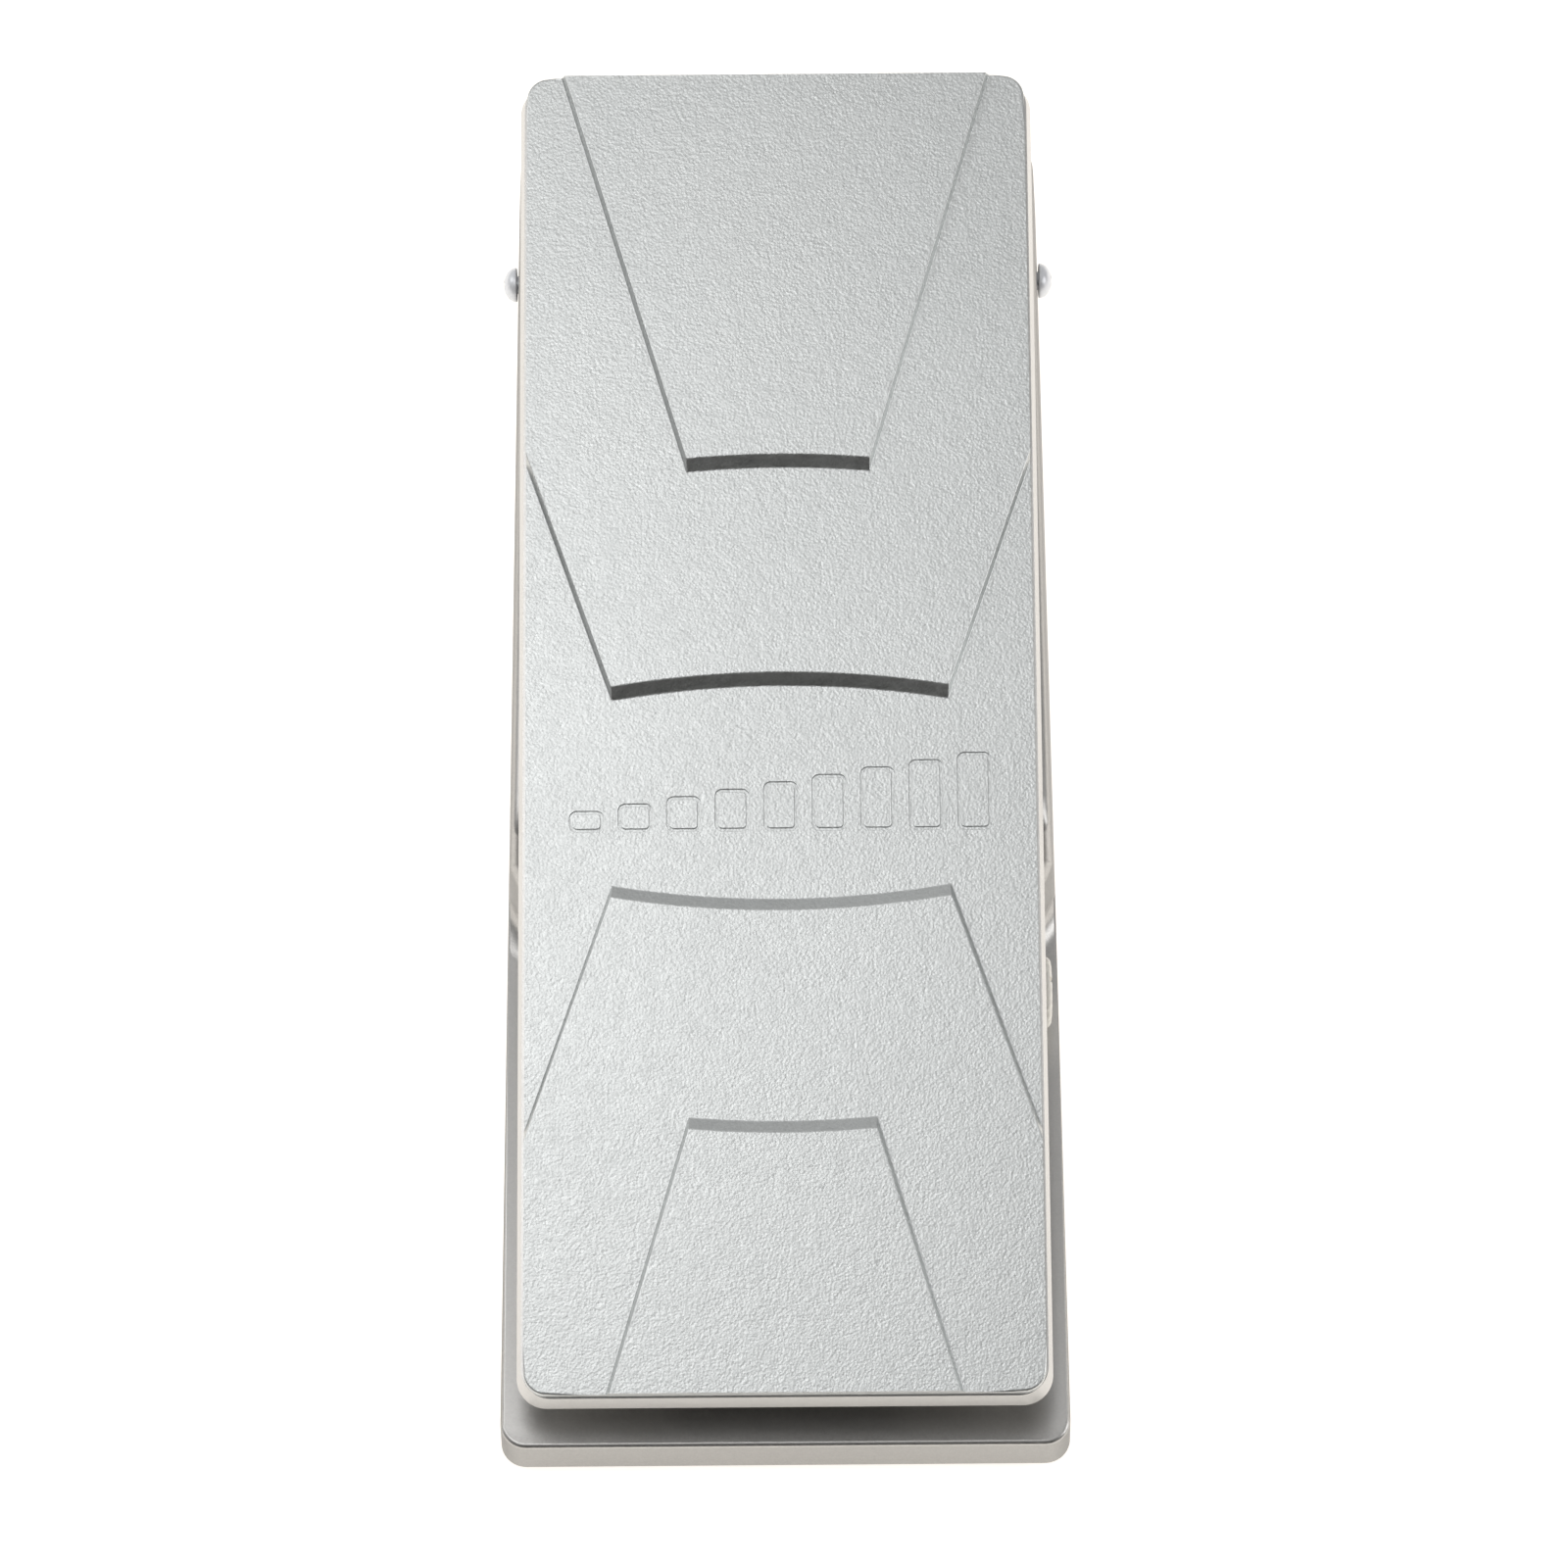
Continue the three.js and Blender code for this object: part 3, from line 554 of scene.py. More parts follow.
FINISHES = {
    "silver_casting": silver_paint,
    "tread_rubber": tread_skin,
    "black_steel": powder_coat,
    "black_rubber": moulded_rubber,
    "black_plastic": moulded_plastic,
    "bright_nickel": nickel_plate,
    "circuit_board": solder_mask,
    "plated_steel": zinc_steel,
    "brass": dull_brass,
    "white_nylon": nylon,
    "ivory_plastic": cream_plastic,
}


def finish_for(slot, maker=None):
    """The material for a slot of the record, made the first time it is asked for."""
    maker = maker or FINISHES[slot]
    name = slot + "_" + maker.__name__
    colours = bpy.context.scene.pedal_colours
    if name not in bpy.data.materials:
        maker(name, list(getattr(colours, slot)))
    return bpy.data.materials[name]


# ---- sizes and colours a user may change ----
def length(label, text, millimetres):
    return FloatProperty(name=label, description=text, default=millimetres * MM, unit="LENGTH", precision=5)


def colour(label, text, value):
    return FloatVectorProperty(
        name=label, description=text, default=(*value, 1), size=4, min=0, max=1, subtype="COLOR"
    )


class PEDAL_PG_colours(bpy.types.PropertyGroup):
    """The base colour of each finish."""

    silver_casting: colour("Silver paint", "Enamel on the base and the treadle", (0.53, 0.522, 0.508))
    tread_rubber: colour("Tread", "Silver-grey skin of the rubber tread", (0.62, 0.635, 0.63))
    black_steel: colour("Powder coat", "Cover, its screws and the set screws", (0.022, 0.022, 0.023))
    black_rubber: colour("Rubber", "Feet and stops", (0.02, 0.02, 0.02))
    black_plastic: colour("Black plastic", "Jacks and leads", (0.018, 0.018, 0.019))
    # Bright bluish white: partly the nickel's colour, partly a painted reflection of the white surroundings.
    bright_nickel: colour("Nickel", "Side screws and jack nuts", (0.88, 0.9, 0.95))
    circuit_board: colour("Circuit board", "Solder mask", (0.015, 0.1, 0.04))
    plated_steel: colour("Plated steel", "Brackets, pots, shaft and spring", (0.55, 0.56, 0.57))
    brass: colour("Brass", "Toothed sector and pot nuts", (0.6, 0.42, 0.17))
    white_nylon: colour("Nylon", "Bushes, brake shoe and pinion", (0.78, 0.77, 0.72))
    ivory_plastic: colour("Knob", "Minimum-volume knob", (0.93, 0.9, 0.83))


class PEDAL_PG_tread(bpy.types.PropertyGroup):
    """Sizes of the rubber tread, in the treadle's own frame."""

    tilt: FloatProperty(
        name="Tilt",
        description="Rise of the treadle towards its toe end, heel down",
        default=math.radians(12.5),
        unit="ROTATION",
        subtype="ANGLE",
    )
    half_width: length("Half width", "Middle of the tread to its side", 49.5)
    heel_end: length("Heel end", "Pivot to the heel end, along the plate", -134.3)
    toe_end: length("Toe end", "Pivot to the toe end, along the plate", 129.3)
    corner: length("Corner", "Corner radius in plan", 4.3)
    underside: length("Underside", "Height of the tread's underside over the pivot", 21.05)
    low_level: length("Lowest level", "Height of the lowest surface over the pivot", 22.15)
    step: length("Step", "Rise of each raised panel", 1.6)
    middle: length("Middle", "Middle of the panel pattern, along the plate", -17.1)
    bow: length("Bow", "Radius of the panels' bowed edges", 195)
    ramp: length("Ramp", "Run of the slope at a bowed edge", 2.4)
    side_ramp: length("Side ramp", "Run of the slope at a slanting edge", 0.64)
    outer_round: length("Outer round", "Radius around the tread's top edge", 0.55)
    step_round: length("Step round", "Radius along the panels' edges", 0.22)
    outer_from: length("Outer panels start", "Middle to the outer panels' bowed edges", 22.5)
    outer_half: length("Outer panels half", "Half width of the outer panels' bowed edges", 32.8)
    inner_from: length("Inner panels start", "Middle to the inner panels' bowed edges", 66.3)
    inner_half: length("Inner panels half", "Half width of the inner panels' bowed edges", 18)
    outer_opening: FloatProperty(name="Outer opening", description="Slant of the outer panels", default=0.35)
    inner_opening: FloatProperty(name="Inner opening", description="Slant of the inner panels", default=0.3)
    bars: IntProperty(name="Bars", description="Rising bars in the engraved band", default=9, min=1)
    bar_pitch: length("Bar pitch", "Middle of one bar to the next", 9.4)
    bar_width: length("Bar width", "Width of a bar", 6.6)
    bar_tall: length("Tallest bar", "Length of the last bar", 15.4)
    bar_short: length("Shortest bar", "Length of the first bar", 4.2)
    groove: length("Groove", "Width of the engraved line", 0.62)
    groove_depth: length("Groove depth", "Depth of the engraved line", 0.42)


class PEDAL_PG_edges(bpy.types.PropertyGroup):
    """Radii of the castings' edges."""

    base_edge: length("Base edge", "Rounds and fillets outside the base", 0.9)
    base_shoulder: length("Base shoulder", "Round along the upper edges of the base's high part", 2.4)
    shoulder_fillet: length("Shoulder fillet", "Hollow fillet where the shoulders stand on the deck", 5)
    base_foot: length("Base foot", "Round along the base's lower edge", 0.5)
    treadle_edge: length("Treadle edge", "Round along the treadle's upper edge", 0.9)
    treadle_skirt: length("Treadle skirt", "Round along the treadle's lower edge", 0.5)
    small_edge: length("Small edge", "Broken edges on the inner pieces", 0.15)


class PEDAL_PG_stage(bpy.types.PropertyGroup):
    """Camera, floor and light."""

    eye: FloatVectorProperty(
        name="Eye",
        description="Place of the camera",
        default=(0.00317, -0.52961, 1.08055),
        unit="LENGTH",
    )
    pitch: FloatProperty(
        name="Pitch",
        description="How far the camera looks down",
        default=math.radians(63.747),
        unit="ROTATION",
    )
    yaw: FloatProperty(
        name="Yaw",
        description="How far the camera looks to the left",
        default=math.radians(0.282),
        unit="ROTATION",
    )
    roll: FloatProperty(
        name="Roll",
        description="Turn about the line of sight",
        default=math.radians(-0.711),
        unit="ROTATION",
    )
    lens: FloatProperty(name="Lens", description="Focal length in millimetres", default=135.28)
    floor_size: FloatProperty(name="Floor", description="Side of the floor", default=14.0, unit="LENGTH")
    overhead_power: FloatProperty(
        name="Overhead",
        description="Power of the box overhead",
        default=2.4,
        unit="POWER",
    )
    key_power: FloatProperty(
        name="Key",
        description="Power of the light from the left",
        default=3.0,
        unit="POWER",
    )
    fill_power: FloatProperty(
        name="Fill",
        description="Power of the soft light on the knob's side",
        default=1.9,
        unit="POWER",
    )


# ---- stage ----
class PEDAL_OT_stage(bpy.types.Operator):
    """Lay the pale floor, light it softly and set up the camera"""

    bl_idname = "pedal.stage"
    bl_label = "Stage"

    def execute(self, context):
        stage = context.scene.pedal_stage
        self.place_camera(context, stage)
        self.lay_floor(stage)
        self.hang_light("overhead_box", stage.overhead_power, 0.6, (-0.25, -0.06, 1.25), (0, -0.03, 0.05))
        self.hang_light("key_light", stage.key_power, 0.8, (-1.1, 0.4, 1.0), (0, 0, 0.05))
        self.hang_light("right_fill", stage.fill_power, 0.5, (0.75, -0.15, 0.45), (0.05, -0.03, 0.03))
        self.fill_sky(context)
        context.scene.view_settings.view_transform = "Standard"
        return {"FINISHED"}

    def place_camera(self, context, stage):
        lens = bpy.data.cameras.new("camera")
        lens.lens = stage.lens
        lens.sensor_width = 36
        lens.clip_start = 0.01
        camera = bpy.data.objects.new("camera", lens)
        context.scene.collection.objects.link(camera)
        turn = Matrix.Rotation(stage.yaw, 4, "Z")
        tip = Matrix.Rotation(math.radians(90) - stage.pitch, 4, "X")
        lean = Matrix.Rotation(stage.roll, 4, "Z")
        camera.matrix_world = Matrix.Translation(stage.eye) @ turn @ tip @ lean
        context.scene.camera = camera

    def lay_floor(self, stage):
        form = bmesh.new()
        bmesh.ops.create_grid(form, x_segments=24, y_segments=24, size=stage.floor_size / 2)
        floor = new_piece("floor", form)
        paper = Finish(
            "floor_paper", Roughness=0.85, Emission_Color=(1, 0.96, 0.91, 1), Emission_Strength=0.77
        )
        tooth = paper.grain(0.002, 3)
        paper.feed("Base Color", paper.blend((0.88, 0.85, 0.8, 1), (0.92, 0.89, 0.84, 1), tooth))
        floor.data.materials.append(paper.material)

    def hang_light(self, name, power, size, place, aim):
        lamp = bpy.data.lights.new(name, "AREA")
        lamp.energy = power
        lamp.size = size
        hung = bpy.data.objects.new(name, lamp)
        bpy.context.scene.collection.objects.link(hung)
        facing = (Vector(aim) - Vector(place)).to_track_quat("-Z", "Y").to_matrix().to_4x4()
        hung.matrix_world = Matrix.Translation(place) @ facing
        hung.visible_camera = False

    def fill_sky(self, context):
        """Soft studio surroundings: brighter behind the toe and to the left, dim low in front."""
        world = bpy.data.worlds.new("studio")
        context.scene.world = world
        world.use_nodes = True
        sky = NodeWriter(world.node_tree)
        towards = sky.node("ShaderNodeTexCoord", output="Generated")
        parts = sky.tree.nodes.new("ShaderNodeSeparateXYZ")
        sky.plug(towards, parts.inputs[0])
        x, y, z = (Wire(sky, out) for out in parts.outputs)
        glow = 0.16 + 0.3 * y - 0.1 * x + 0.28 * z
        plain = sky.node("ShaderNodeLightPath", output="Is Camera Ray")
        strength = glow + plain * (0.9 - glow)
        lit = sky.node("ShaderNodeBackground", {}, {"Color": (1, 1, 1, 1), "Strength": strength})
        end = sky.tree.nodes.new("ShaderNodeOutputWorld")
        sky.plug(lit, end.inputs["Surface"])


# ---- castings ----
class PEDAL_OT_castings(bpy.types.Operator):
    """Round the edges of the base and the treadle as a die-casting's are, and paint them silver"""

    bl_idname = "pedal.castings"
    bl_label = "Castings"

    def execute(self, context):
        edges = context.scene.pedal_edges
        self.finish_base(edges)
        self.finish_treadle(edges, context.scene.pedal_tread.tilt)
        return {"FINISHED"}

    def finish_base(self, edges):
        form = shell_of("base_casting")
        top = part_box("base_casting")[1]
        deck = max(
            (f for f in form.faces if f.normal.z > 0.99 and f.calc_center_median().z < 20 * MM),
            key=lambda f: f.calc_area(),
        )
        deck_height = deck.calc_center_median().z
        outside = spread_from(deck, lambda face: not self.is_passage(face, top))
        turns = turn_edges(form, outside, math.radians(24))
        feet = {f for f in form.faces if f.normal.z < -0.9 and f.calc_center_median().z < 2.3 * MM}
        lower = [e for e in form.edges if len(e.link_faces) == 2 and self.joins(e, feet, outside)]
        round_over(form, lower, edges.base_foot, 2)
        turns = [edge for edge in turns if edge.is_valid and not self.is_hollow_end(edge)]
        high = [e for e in turns if e.is_convex and min(v.co.z for v in e.verts) > 20 * MM]
        round_over(form, high, edges.base_shoulder, 6)
        turns = [edge for edge in turns if edge.is_valid]
        round_over(form, turns, edges.base_edge, 4)
        for side in HANDS.values():
            self.add_fillet(form, side, edges.shoulder_fillet, deck_height)
        casting = new_piece("base_casting_skin", form)
        # The base's enamel carries painted shade on its walls seen edge on.
        paint = finish_for("silver_casting", dry_silver_paint)
        settle(casting, paint, "base", ["base_casting"])

    def add_fillet(self, form, side, reach, deck):
        """A wide hollow fillet where a round shoulder stands on the deck, cut off by the side wall."""
        radius = SHOULDER_RADIUS
        axis = Vector(SHOULDER_AXIS)
        buried = 0.6 * MM
        steps = 10
        turns = 16
        first_angle, swept_angle = -62, 46
        loops = []
        for turn in range(turns + 1):
            angle = math.radians(first_angle + swept_angle * turn / turns)
            wall = (FLANK_AT_DECK - axis.x) / math.cos(angle)
            end = min(radius + reach, wall)
            section = [(radius - buried, deck - buried), (end, deck - buried)]
            for i in range(steps + 1):
                out = end + (radius - end) * i / steps
                rise = reach - math.sqrt(max(0, reach**2 - (radius + reach - out) ** 2))
                section.append((out, deck + rise))
            section.append((radius - buried, deck + reach))
            ring = []
            for out, height in section:
                x = axis.x + out * math.cos(angle)
                ring.append(form.verts.new((side * x, axis.y + out * math.sin(angle), height)))
            loops.append(ring)
        made = []
        for low, high in zip(loops, loops[1:]):
            for i in range(len(low)):
                j = (i + 1) % len(low)
                made.append(form.faces.new((low[i], low[j], high[j], high[i])))
        made.append(form.faces.new(loops[0][::-1]))
        made.append(form.faces.new(loops[-1]))
        bmesh.ops.recalc_face_normals(form, faces=made)

    def is_hollow_end(self, edge):
        """Whether a hollow edge runs out into a side wall, where a fillet would have no room."""
        return not edge.is_convex and max(abs(vert.co.x) for vert in edge.verts) > 50 * MM

    def joins(self, edge, some, others):
        one, two = edge.link_faces
        return (one in some and two in others) or (two in some and one in others)

    def is_passage(self, face, top):
        """Whether a face lies in a hole through the casting, or under its rim."""
        x, y, z = (value / MM for value in face.calc_center_median())
        toe = top.y / MM
        if z < 2.3:
            return True
        if y > toe - 4 and any(math.hypot(x - self.jack_x(i), z - 18) < 5.2 for i in range(len(JACKS))):
            return True
        if abs(x) > 45 and math.hypot(y - 110.5, z - 20) < 2.5:
            return True
        if x > 38 and math.hypot(y + 53.5, z - 21.5) < 4.2:
            return True
        return abs(x) < 29.4 and -24 < y < 40 and z > 28 and abs(face.normal.z) < 0.5

    def jack_x(self, i):
        return (i - (len(JACKS) - 1) / 2) * JACK_PITCH

    def finish_treadle(self, edges, tilt):
        form = shell_of("treadle_casting")
        place = treadle_place(tilt)
        form.transform(place.inverted())
        plate = max((f for f in form.faces if f.normal.z > 0.99), key=lambda f: f.calc_center_median().z)
        outside = spread_from(plate, lambda face: face.normal.z > -0.5)
        upper = turn_edges(form, outside, math.radians(40))
        lowest = 14.75 * MM
        rims = {
            face
            for face in form.faces
            if face.normal.z < -0.9 and abs(face.calc_center_median().z - lowest) < 0.1 * MM
        }
        lower = [e for e in form.edges if len(e.link_faces) == 2 and self.joins(e, rims, outside)]
        round_over(form, lower, edges.treadle_skirt, 2)
        upper = [edge for edge in upper if edge.is_valid]
        round_over(form, upper, edges.treadle_edge, 4)
        form.transform(place)
        casting = new_piece("treadle_casting_skin", form)
        settle(casting, finish_for("silver_casting"), "treadle", ["treadle_casting"])


# ---- tread ----
class PEDAL_OT_tread(bpy.types.Operator):
    """Mould the stepped rubber tread with its engraved band"""

    bl_idname = "pedal.tread"
    bl_label = "Tread"

    def execute(self, context):
        tread = context.scene.pedal_tread
        low = (-tread.half_width, tread.heel_end)
        high = (tread.half_width, tread.toe_end)
        outline = rounded_rectangle(low, high, tread.corner, 12)
        slab = new_piece("tread_mat_skin", prism(outline, tread.underside, tread.low_level))
        panels = []
        for level, (start, half, opening) in enumerate(self.panels(tread)):
            for end in (-1, 1):
                panels.append(new_piece("panel", self.panel(tread, level, start, half, opening, end)))
        combine(slab, panels, "UNION")
        within = new_piece("within", prism(outline, tread.underside, tread.low_level + 3 * tread.step))
        combine(slab, [within], "INTERSECT")
        combine(slab, self.grooves(tread))
        reshape(slab, clean)
        reshape(slab, lambda form: self.round_edges(form, tread))
        slab.data.transform(treadle_place(tread.tilt))
        settle(slab, finish_for("tread_rubber"), "treadle", ["tread_mat"])
        return {"FINISHED"}

    def panels(self, tread):
        return [
            (tread.outer_from, tread.outer_half, tread.outer_opening),
            (tread.inner_from, tread.inner_half, tread.inner_opening),
        ]

    def panel(self, tread, level, start, half, opening, end):
        """A raised panel with sloping edges: wider at its foot, narrower at its top."""
        foot_height = tread.low_level + level * tread.step
        buried = 0.4 * MM
        foot = self.panel_outline(tread, start, half, opening, end, 1)
        top = self.panel_outline(tread, start, half, opening, end, -1)
        heights = [(foot, foot_height - buried), (foot, foot_height), (top, foot_height + tread.step)]
        return loft([[(x, y, z) for x, y in outline] for outline, z in heights])

    def panel_outline(self, tread, start, half, opening, end, grow):
        """The panel's edge in plan, grown by half of each slope's run or shrunk by it."""
        steps = 56
        reach = 200 * MM
        radius = tread.bow - grow * tread.ramp / 2
        centre = start - tread.bow
        corner = centre + math.sqrt(tread.bow**2 - half**2)
        shift = grow * tread.side_ramp / 2 * math.hypot(1, opening)
        edge = half
        for _ in range(20):
            along = centre + math.sqrt(radius**2 - edge**2)
            edge = half + shift + (along - corner) * opening
        swing = math.asin(edge / radius)
        points = []
        for i in range(steps + 1):
            angle = swing * (2 * i / steps - 1)
            points.append((radius * math.sin(angle), centre + radius * math.cos(angle)))
        far = half + shift + (reach - corner) * opening
        points += [(far, reach), (-far, reach)]
        return [(x, tread.middle + end * along) for x, along in points]

    def grooves(self, tread):
        """Engraved outlines of upright bars that rise from left to right across the middle band."""
        rings = []
        floor = tread.low_level - tread.groove_depth
        over = tread.low_level + 1 * MM
        bottom = tread.middle - tread.bar_tall / 2
        for i in range(tread.bars):
            middle = (i - (tread.bars - 1) / 2) * tread.bar_pitch
            tall = tread.bar_short + (tread.bar_tall - tread.bar_short) * i / max(1, tread.bars - 1)
            outlines = []
            for inset in (0, tread.groove):
                low = (middle - tread.bar_width / 2 + inset, bottom + inset)
                high = (middle + tread.bar_width / 2 - inset, bottom + tall - inset)
                outlines.append(rounded_rectangle(low, high, 1.4 * MM - inset, 8))
            outer = new_piece("ring", prism(outlines[0], floor, over))
            inner = new_piece("ring_core", prism(outlines[1], floor - 1 * MM, over + 1 * MM))
            rings.append(combine(outer, [inner]))
        return rings

    def round_edges(self, form, tread):
        """A fuller round where the top meets the tread's sides, a small one along every step."""
        low = tread.low_level
        rim, steps, fine = [], [], []
        for edge in form.edges:
            if len(edge.link_faces) != 2 or edge.calc_face_angle() < math.radians(20):
                continue
            slopes = sorted(face.normal.z for face in edge.link_faces)
            height = max(vert.co.z for vert in edge.verts)
            beside = max(abs(vert.co.y - tread.middle) for vert in edge.verts)
            if height < low - 0.1 * MM and slopes[0] < -0.5:
                continue
            if slopes[0] < 0.1 and height > low - 0.01 * MM and self.on_outline(edge, tread):
                rim.append(edge)
            elif beside < tread.bar_tall / 2 + 1 * MM and height < low + 0.01 * MM:
                fine.append(edge)
            else:
                steps.append(edge)
        round_over(form, [e for e in fine if self.is_top(e, low)], 0.1 * MM, 2)
        round_over(form, [e for e in steps if e.is_valid], tread.step_round, 3)
        round_over(form, [e for e in rim if e.is_valid], tread.outer_round, 4)

    def is_top(self, edge, low):
        return min(vert.co.z for vert in edge.verts) > low - 0.01 * MM

    def on_outline(self, edge, tread):
        """Whether an edge runs along the tread's outline and not across it."""
        walls = [face for face in edge.link_faces if abs(face.normal.z) < 0.05]
        if len(walls) != 1:
            return False
        x, y, _ = walls[0].calc_center_median()
        side = abs(abs(x) - tread.half_width) < tread.corner
        end = min(abs(y - tread.heel_end), abs(y - tread.toe_end)) < tread.corner
        return side or end


# ---- knob ----
class PEDAL_OT_knob(bpy.types.Operator):
    """Turn the fluted minimum-volume knob"""

    bl_idname = "pedal.knob"
    bl_label = "Knob"

    def execute(self, context):
        low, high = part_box("min_volume_knob")
        flutes = 18
        start = low.x / MM
        end = high.x / MM

        def flute(radius, angle):
            if radius < 6.2:
                return radius
            return radius - 0.3 * (0.5 - 0.5 * math.cos(flutes * angle)) ** 1.5

        profile = [
            (0, start + 2.4),
            (5.3, start + 2.4),
            (5.3, start + 0.2),
            (5.5, start),
            (6.5, start),
            (6.9, start + 0.15),
            (7.0, start + 0.4),
            (7.0, end - 1.1),
            (6.9, end - 0.7),
            (6.6, end - 0.35),
            (6.1, end - 0.12),
            (5.4, end),
            (4.6, end - 0.05),
            (4.2, end - 0.35),
            (0, end - 0.35),
        ]
        knob = new_piece("min_volume_knob_skin", lathe(profile, flutes * 10, flute))
        slot = new_piece("knob_slot", block((-0.5, 1.0, end - 0.9), (0.5, 6.4, end + 1), 0.0))
        combine(knob, [slot])
        middle = (low + high) / 2
        upright = Matrix.Rotation(math.radians(90), 4, "Z") @ Matrix.Rotation(math.radians(90), 4, "X")
        knob.data.transform(Matrix.Translation((0, middle.y, middle.z)) @ upright)
        settle(knob, finish_for("ivory_plastic"), "min_volume", ["min_volume_knob"])
        return {"FINISHED"}


# ---- screws ----
def cross_recess(depth, reach, width):
    """A cross-head driver's shape, point down at depth below zero, in millimetres."""
    arms = []
    for turn in (0, 90):
        top, bottom = [], []
        for x, y in ((-1, -1), (1, -1), (1, 1), (-1, 1)):
            top.append((x * reach * MM, y * width / 2 * MM, 0.6 * MM))
            bottom.append((x * reach * 0.35 * MM, y * width / 2 * 0.7 * MM, -depth * MM))
        arm = loft([bottom, top])
        arm.transform(Matrix.Rotation(math.radians(turn), 4, "Z"))
        arms.append(new_piece("driver", arm))
    return arms


class PEDAL_OT_screws(bpy.types.Operator):
    """Turn the two side screws and the six cover screws, with their cross recesses"""

    bl_idname = "pedal.screws"
    bl_label = "Screws"

    def execute(self, context):
        for hand, side in HANDS.items():
            self.side_screw("side_screw_" + hand, side)
        for i in range(1, 7):
            self.cover_screw("cover_screw_" + str(i))
        return {"FINISHED"}

    def side_screw(self, node, side):
        low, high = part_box(node)
        middle = (low + high) / 2
        proud = 0.8  # a fuller dome than the CAD's plain head
        out = max(abs(low.x), abs(high.x)) / MM + proud
        inner = min(abs(low.x), abs(high.x)) / MM
        under = out - proud - 2.0
        profile = [(0, inner), (1.5, inner), (1.9, inner + 0.4)]
        profile += self.thread(1.9, 1.65, inner + 0.5, under - 0.2, 0.7)
        profile += [(1.9, under), (3.4, under), (3.55, under + 0.06), (3.6, under + 0.2)]
        profile += self.dome(3.6, under + 0.2, out, 12)
        screw = new_piece(node + "_skin", lathe(profile, 48))
        drivers = cross_recess(1.3, 2.0, 0.85)
        for driver in drivers:
            driver.data.transform(Matrix.Translation((0, 0, (out - 0.25) * MM)))
        combine(screw, drivers)
        lying = Matrix.Rotation(side * math.pi / 2, 4, "Y")
        screw.data.transform(Matrix.Translation((0, middle.y, middle.z)) @ lying)
        settle(screw, finish_for("bright_nickel"), "base", [node])

    def cover_screw(self, node):
        low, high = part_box(node)
        middle = (low + high) / 2
        tall = (high.z - low.z) / MM
        profile = [(0, -tall), (1.0, -tall), (1.3, -tall + 0.4)]
        profile += self.thread(1.3, 1.08, -tall + 0.5, -1.4, 0.5)
        profile += [(1.3, -1.2), (2.8, -1.2), (3.0, -1.1), (3.0, -0.7)]
        profile += self.dome(3.0, -0.7, 0.0, 7)
        screw = new_piece(node + "_skin", lathe(profile, 40))
        drivers = cross_recess(0.85, 1.7, 0.7)
        for driver in drivers:
            driver.data.transform(Matrix.Translation((0, 0, -0.08 * MM)))
        combine(screw, drivers)
        upside_down = Matrix.Rotation(math.pi, 4, "X")
        screw.data.transform(Matrix.Translation((middle.x, middle.y, low.z)) @ upside_down)
        settle(screw, finish_for("black_steel"), "base", [node])

    def thread(self, crest, root, start, end, pitch):
        """Alternate crests and roots up a shank."""
        count = int((end - start) / pitch)
        points = []
        for i in range(count):
            points.append((root, start + pitch * (i + 0.25)))
            points.append((crest, start + pitch * (i + 0.75)))
        return points

    def dome(self, radius, start, top, steps):
        """A domed head's profile from its rim to the axis."""
        points = []
        for i in range(1, steps + 1):
            angle = math.pi / 2 * i / steps
            reach = radius * math.cos(angle)
            points.append((reach if i < steps else 0, start + (top - start) * math.sin(angle)))
        return points


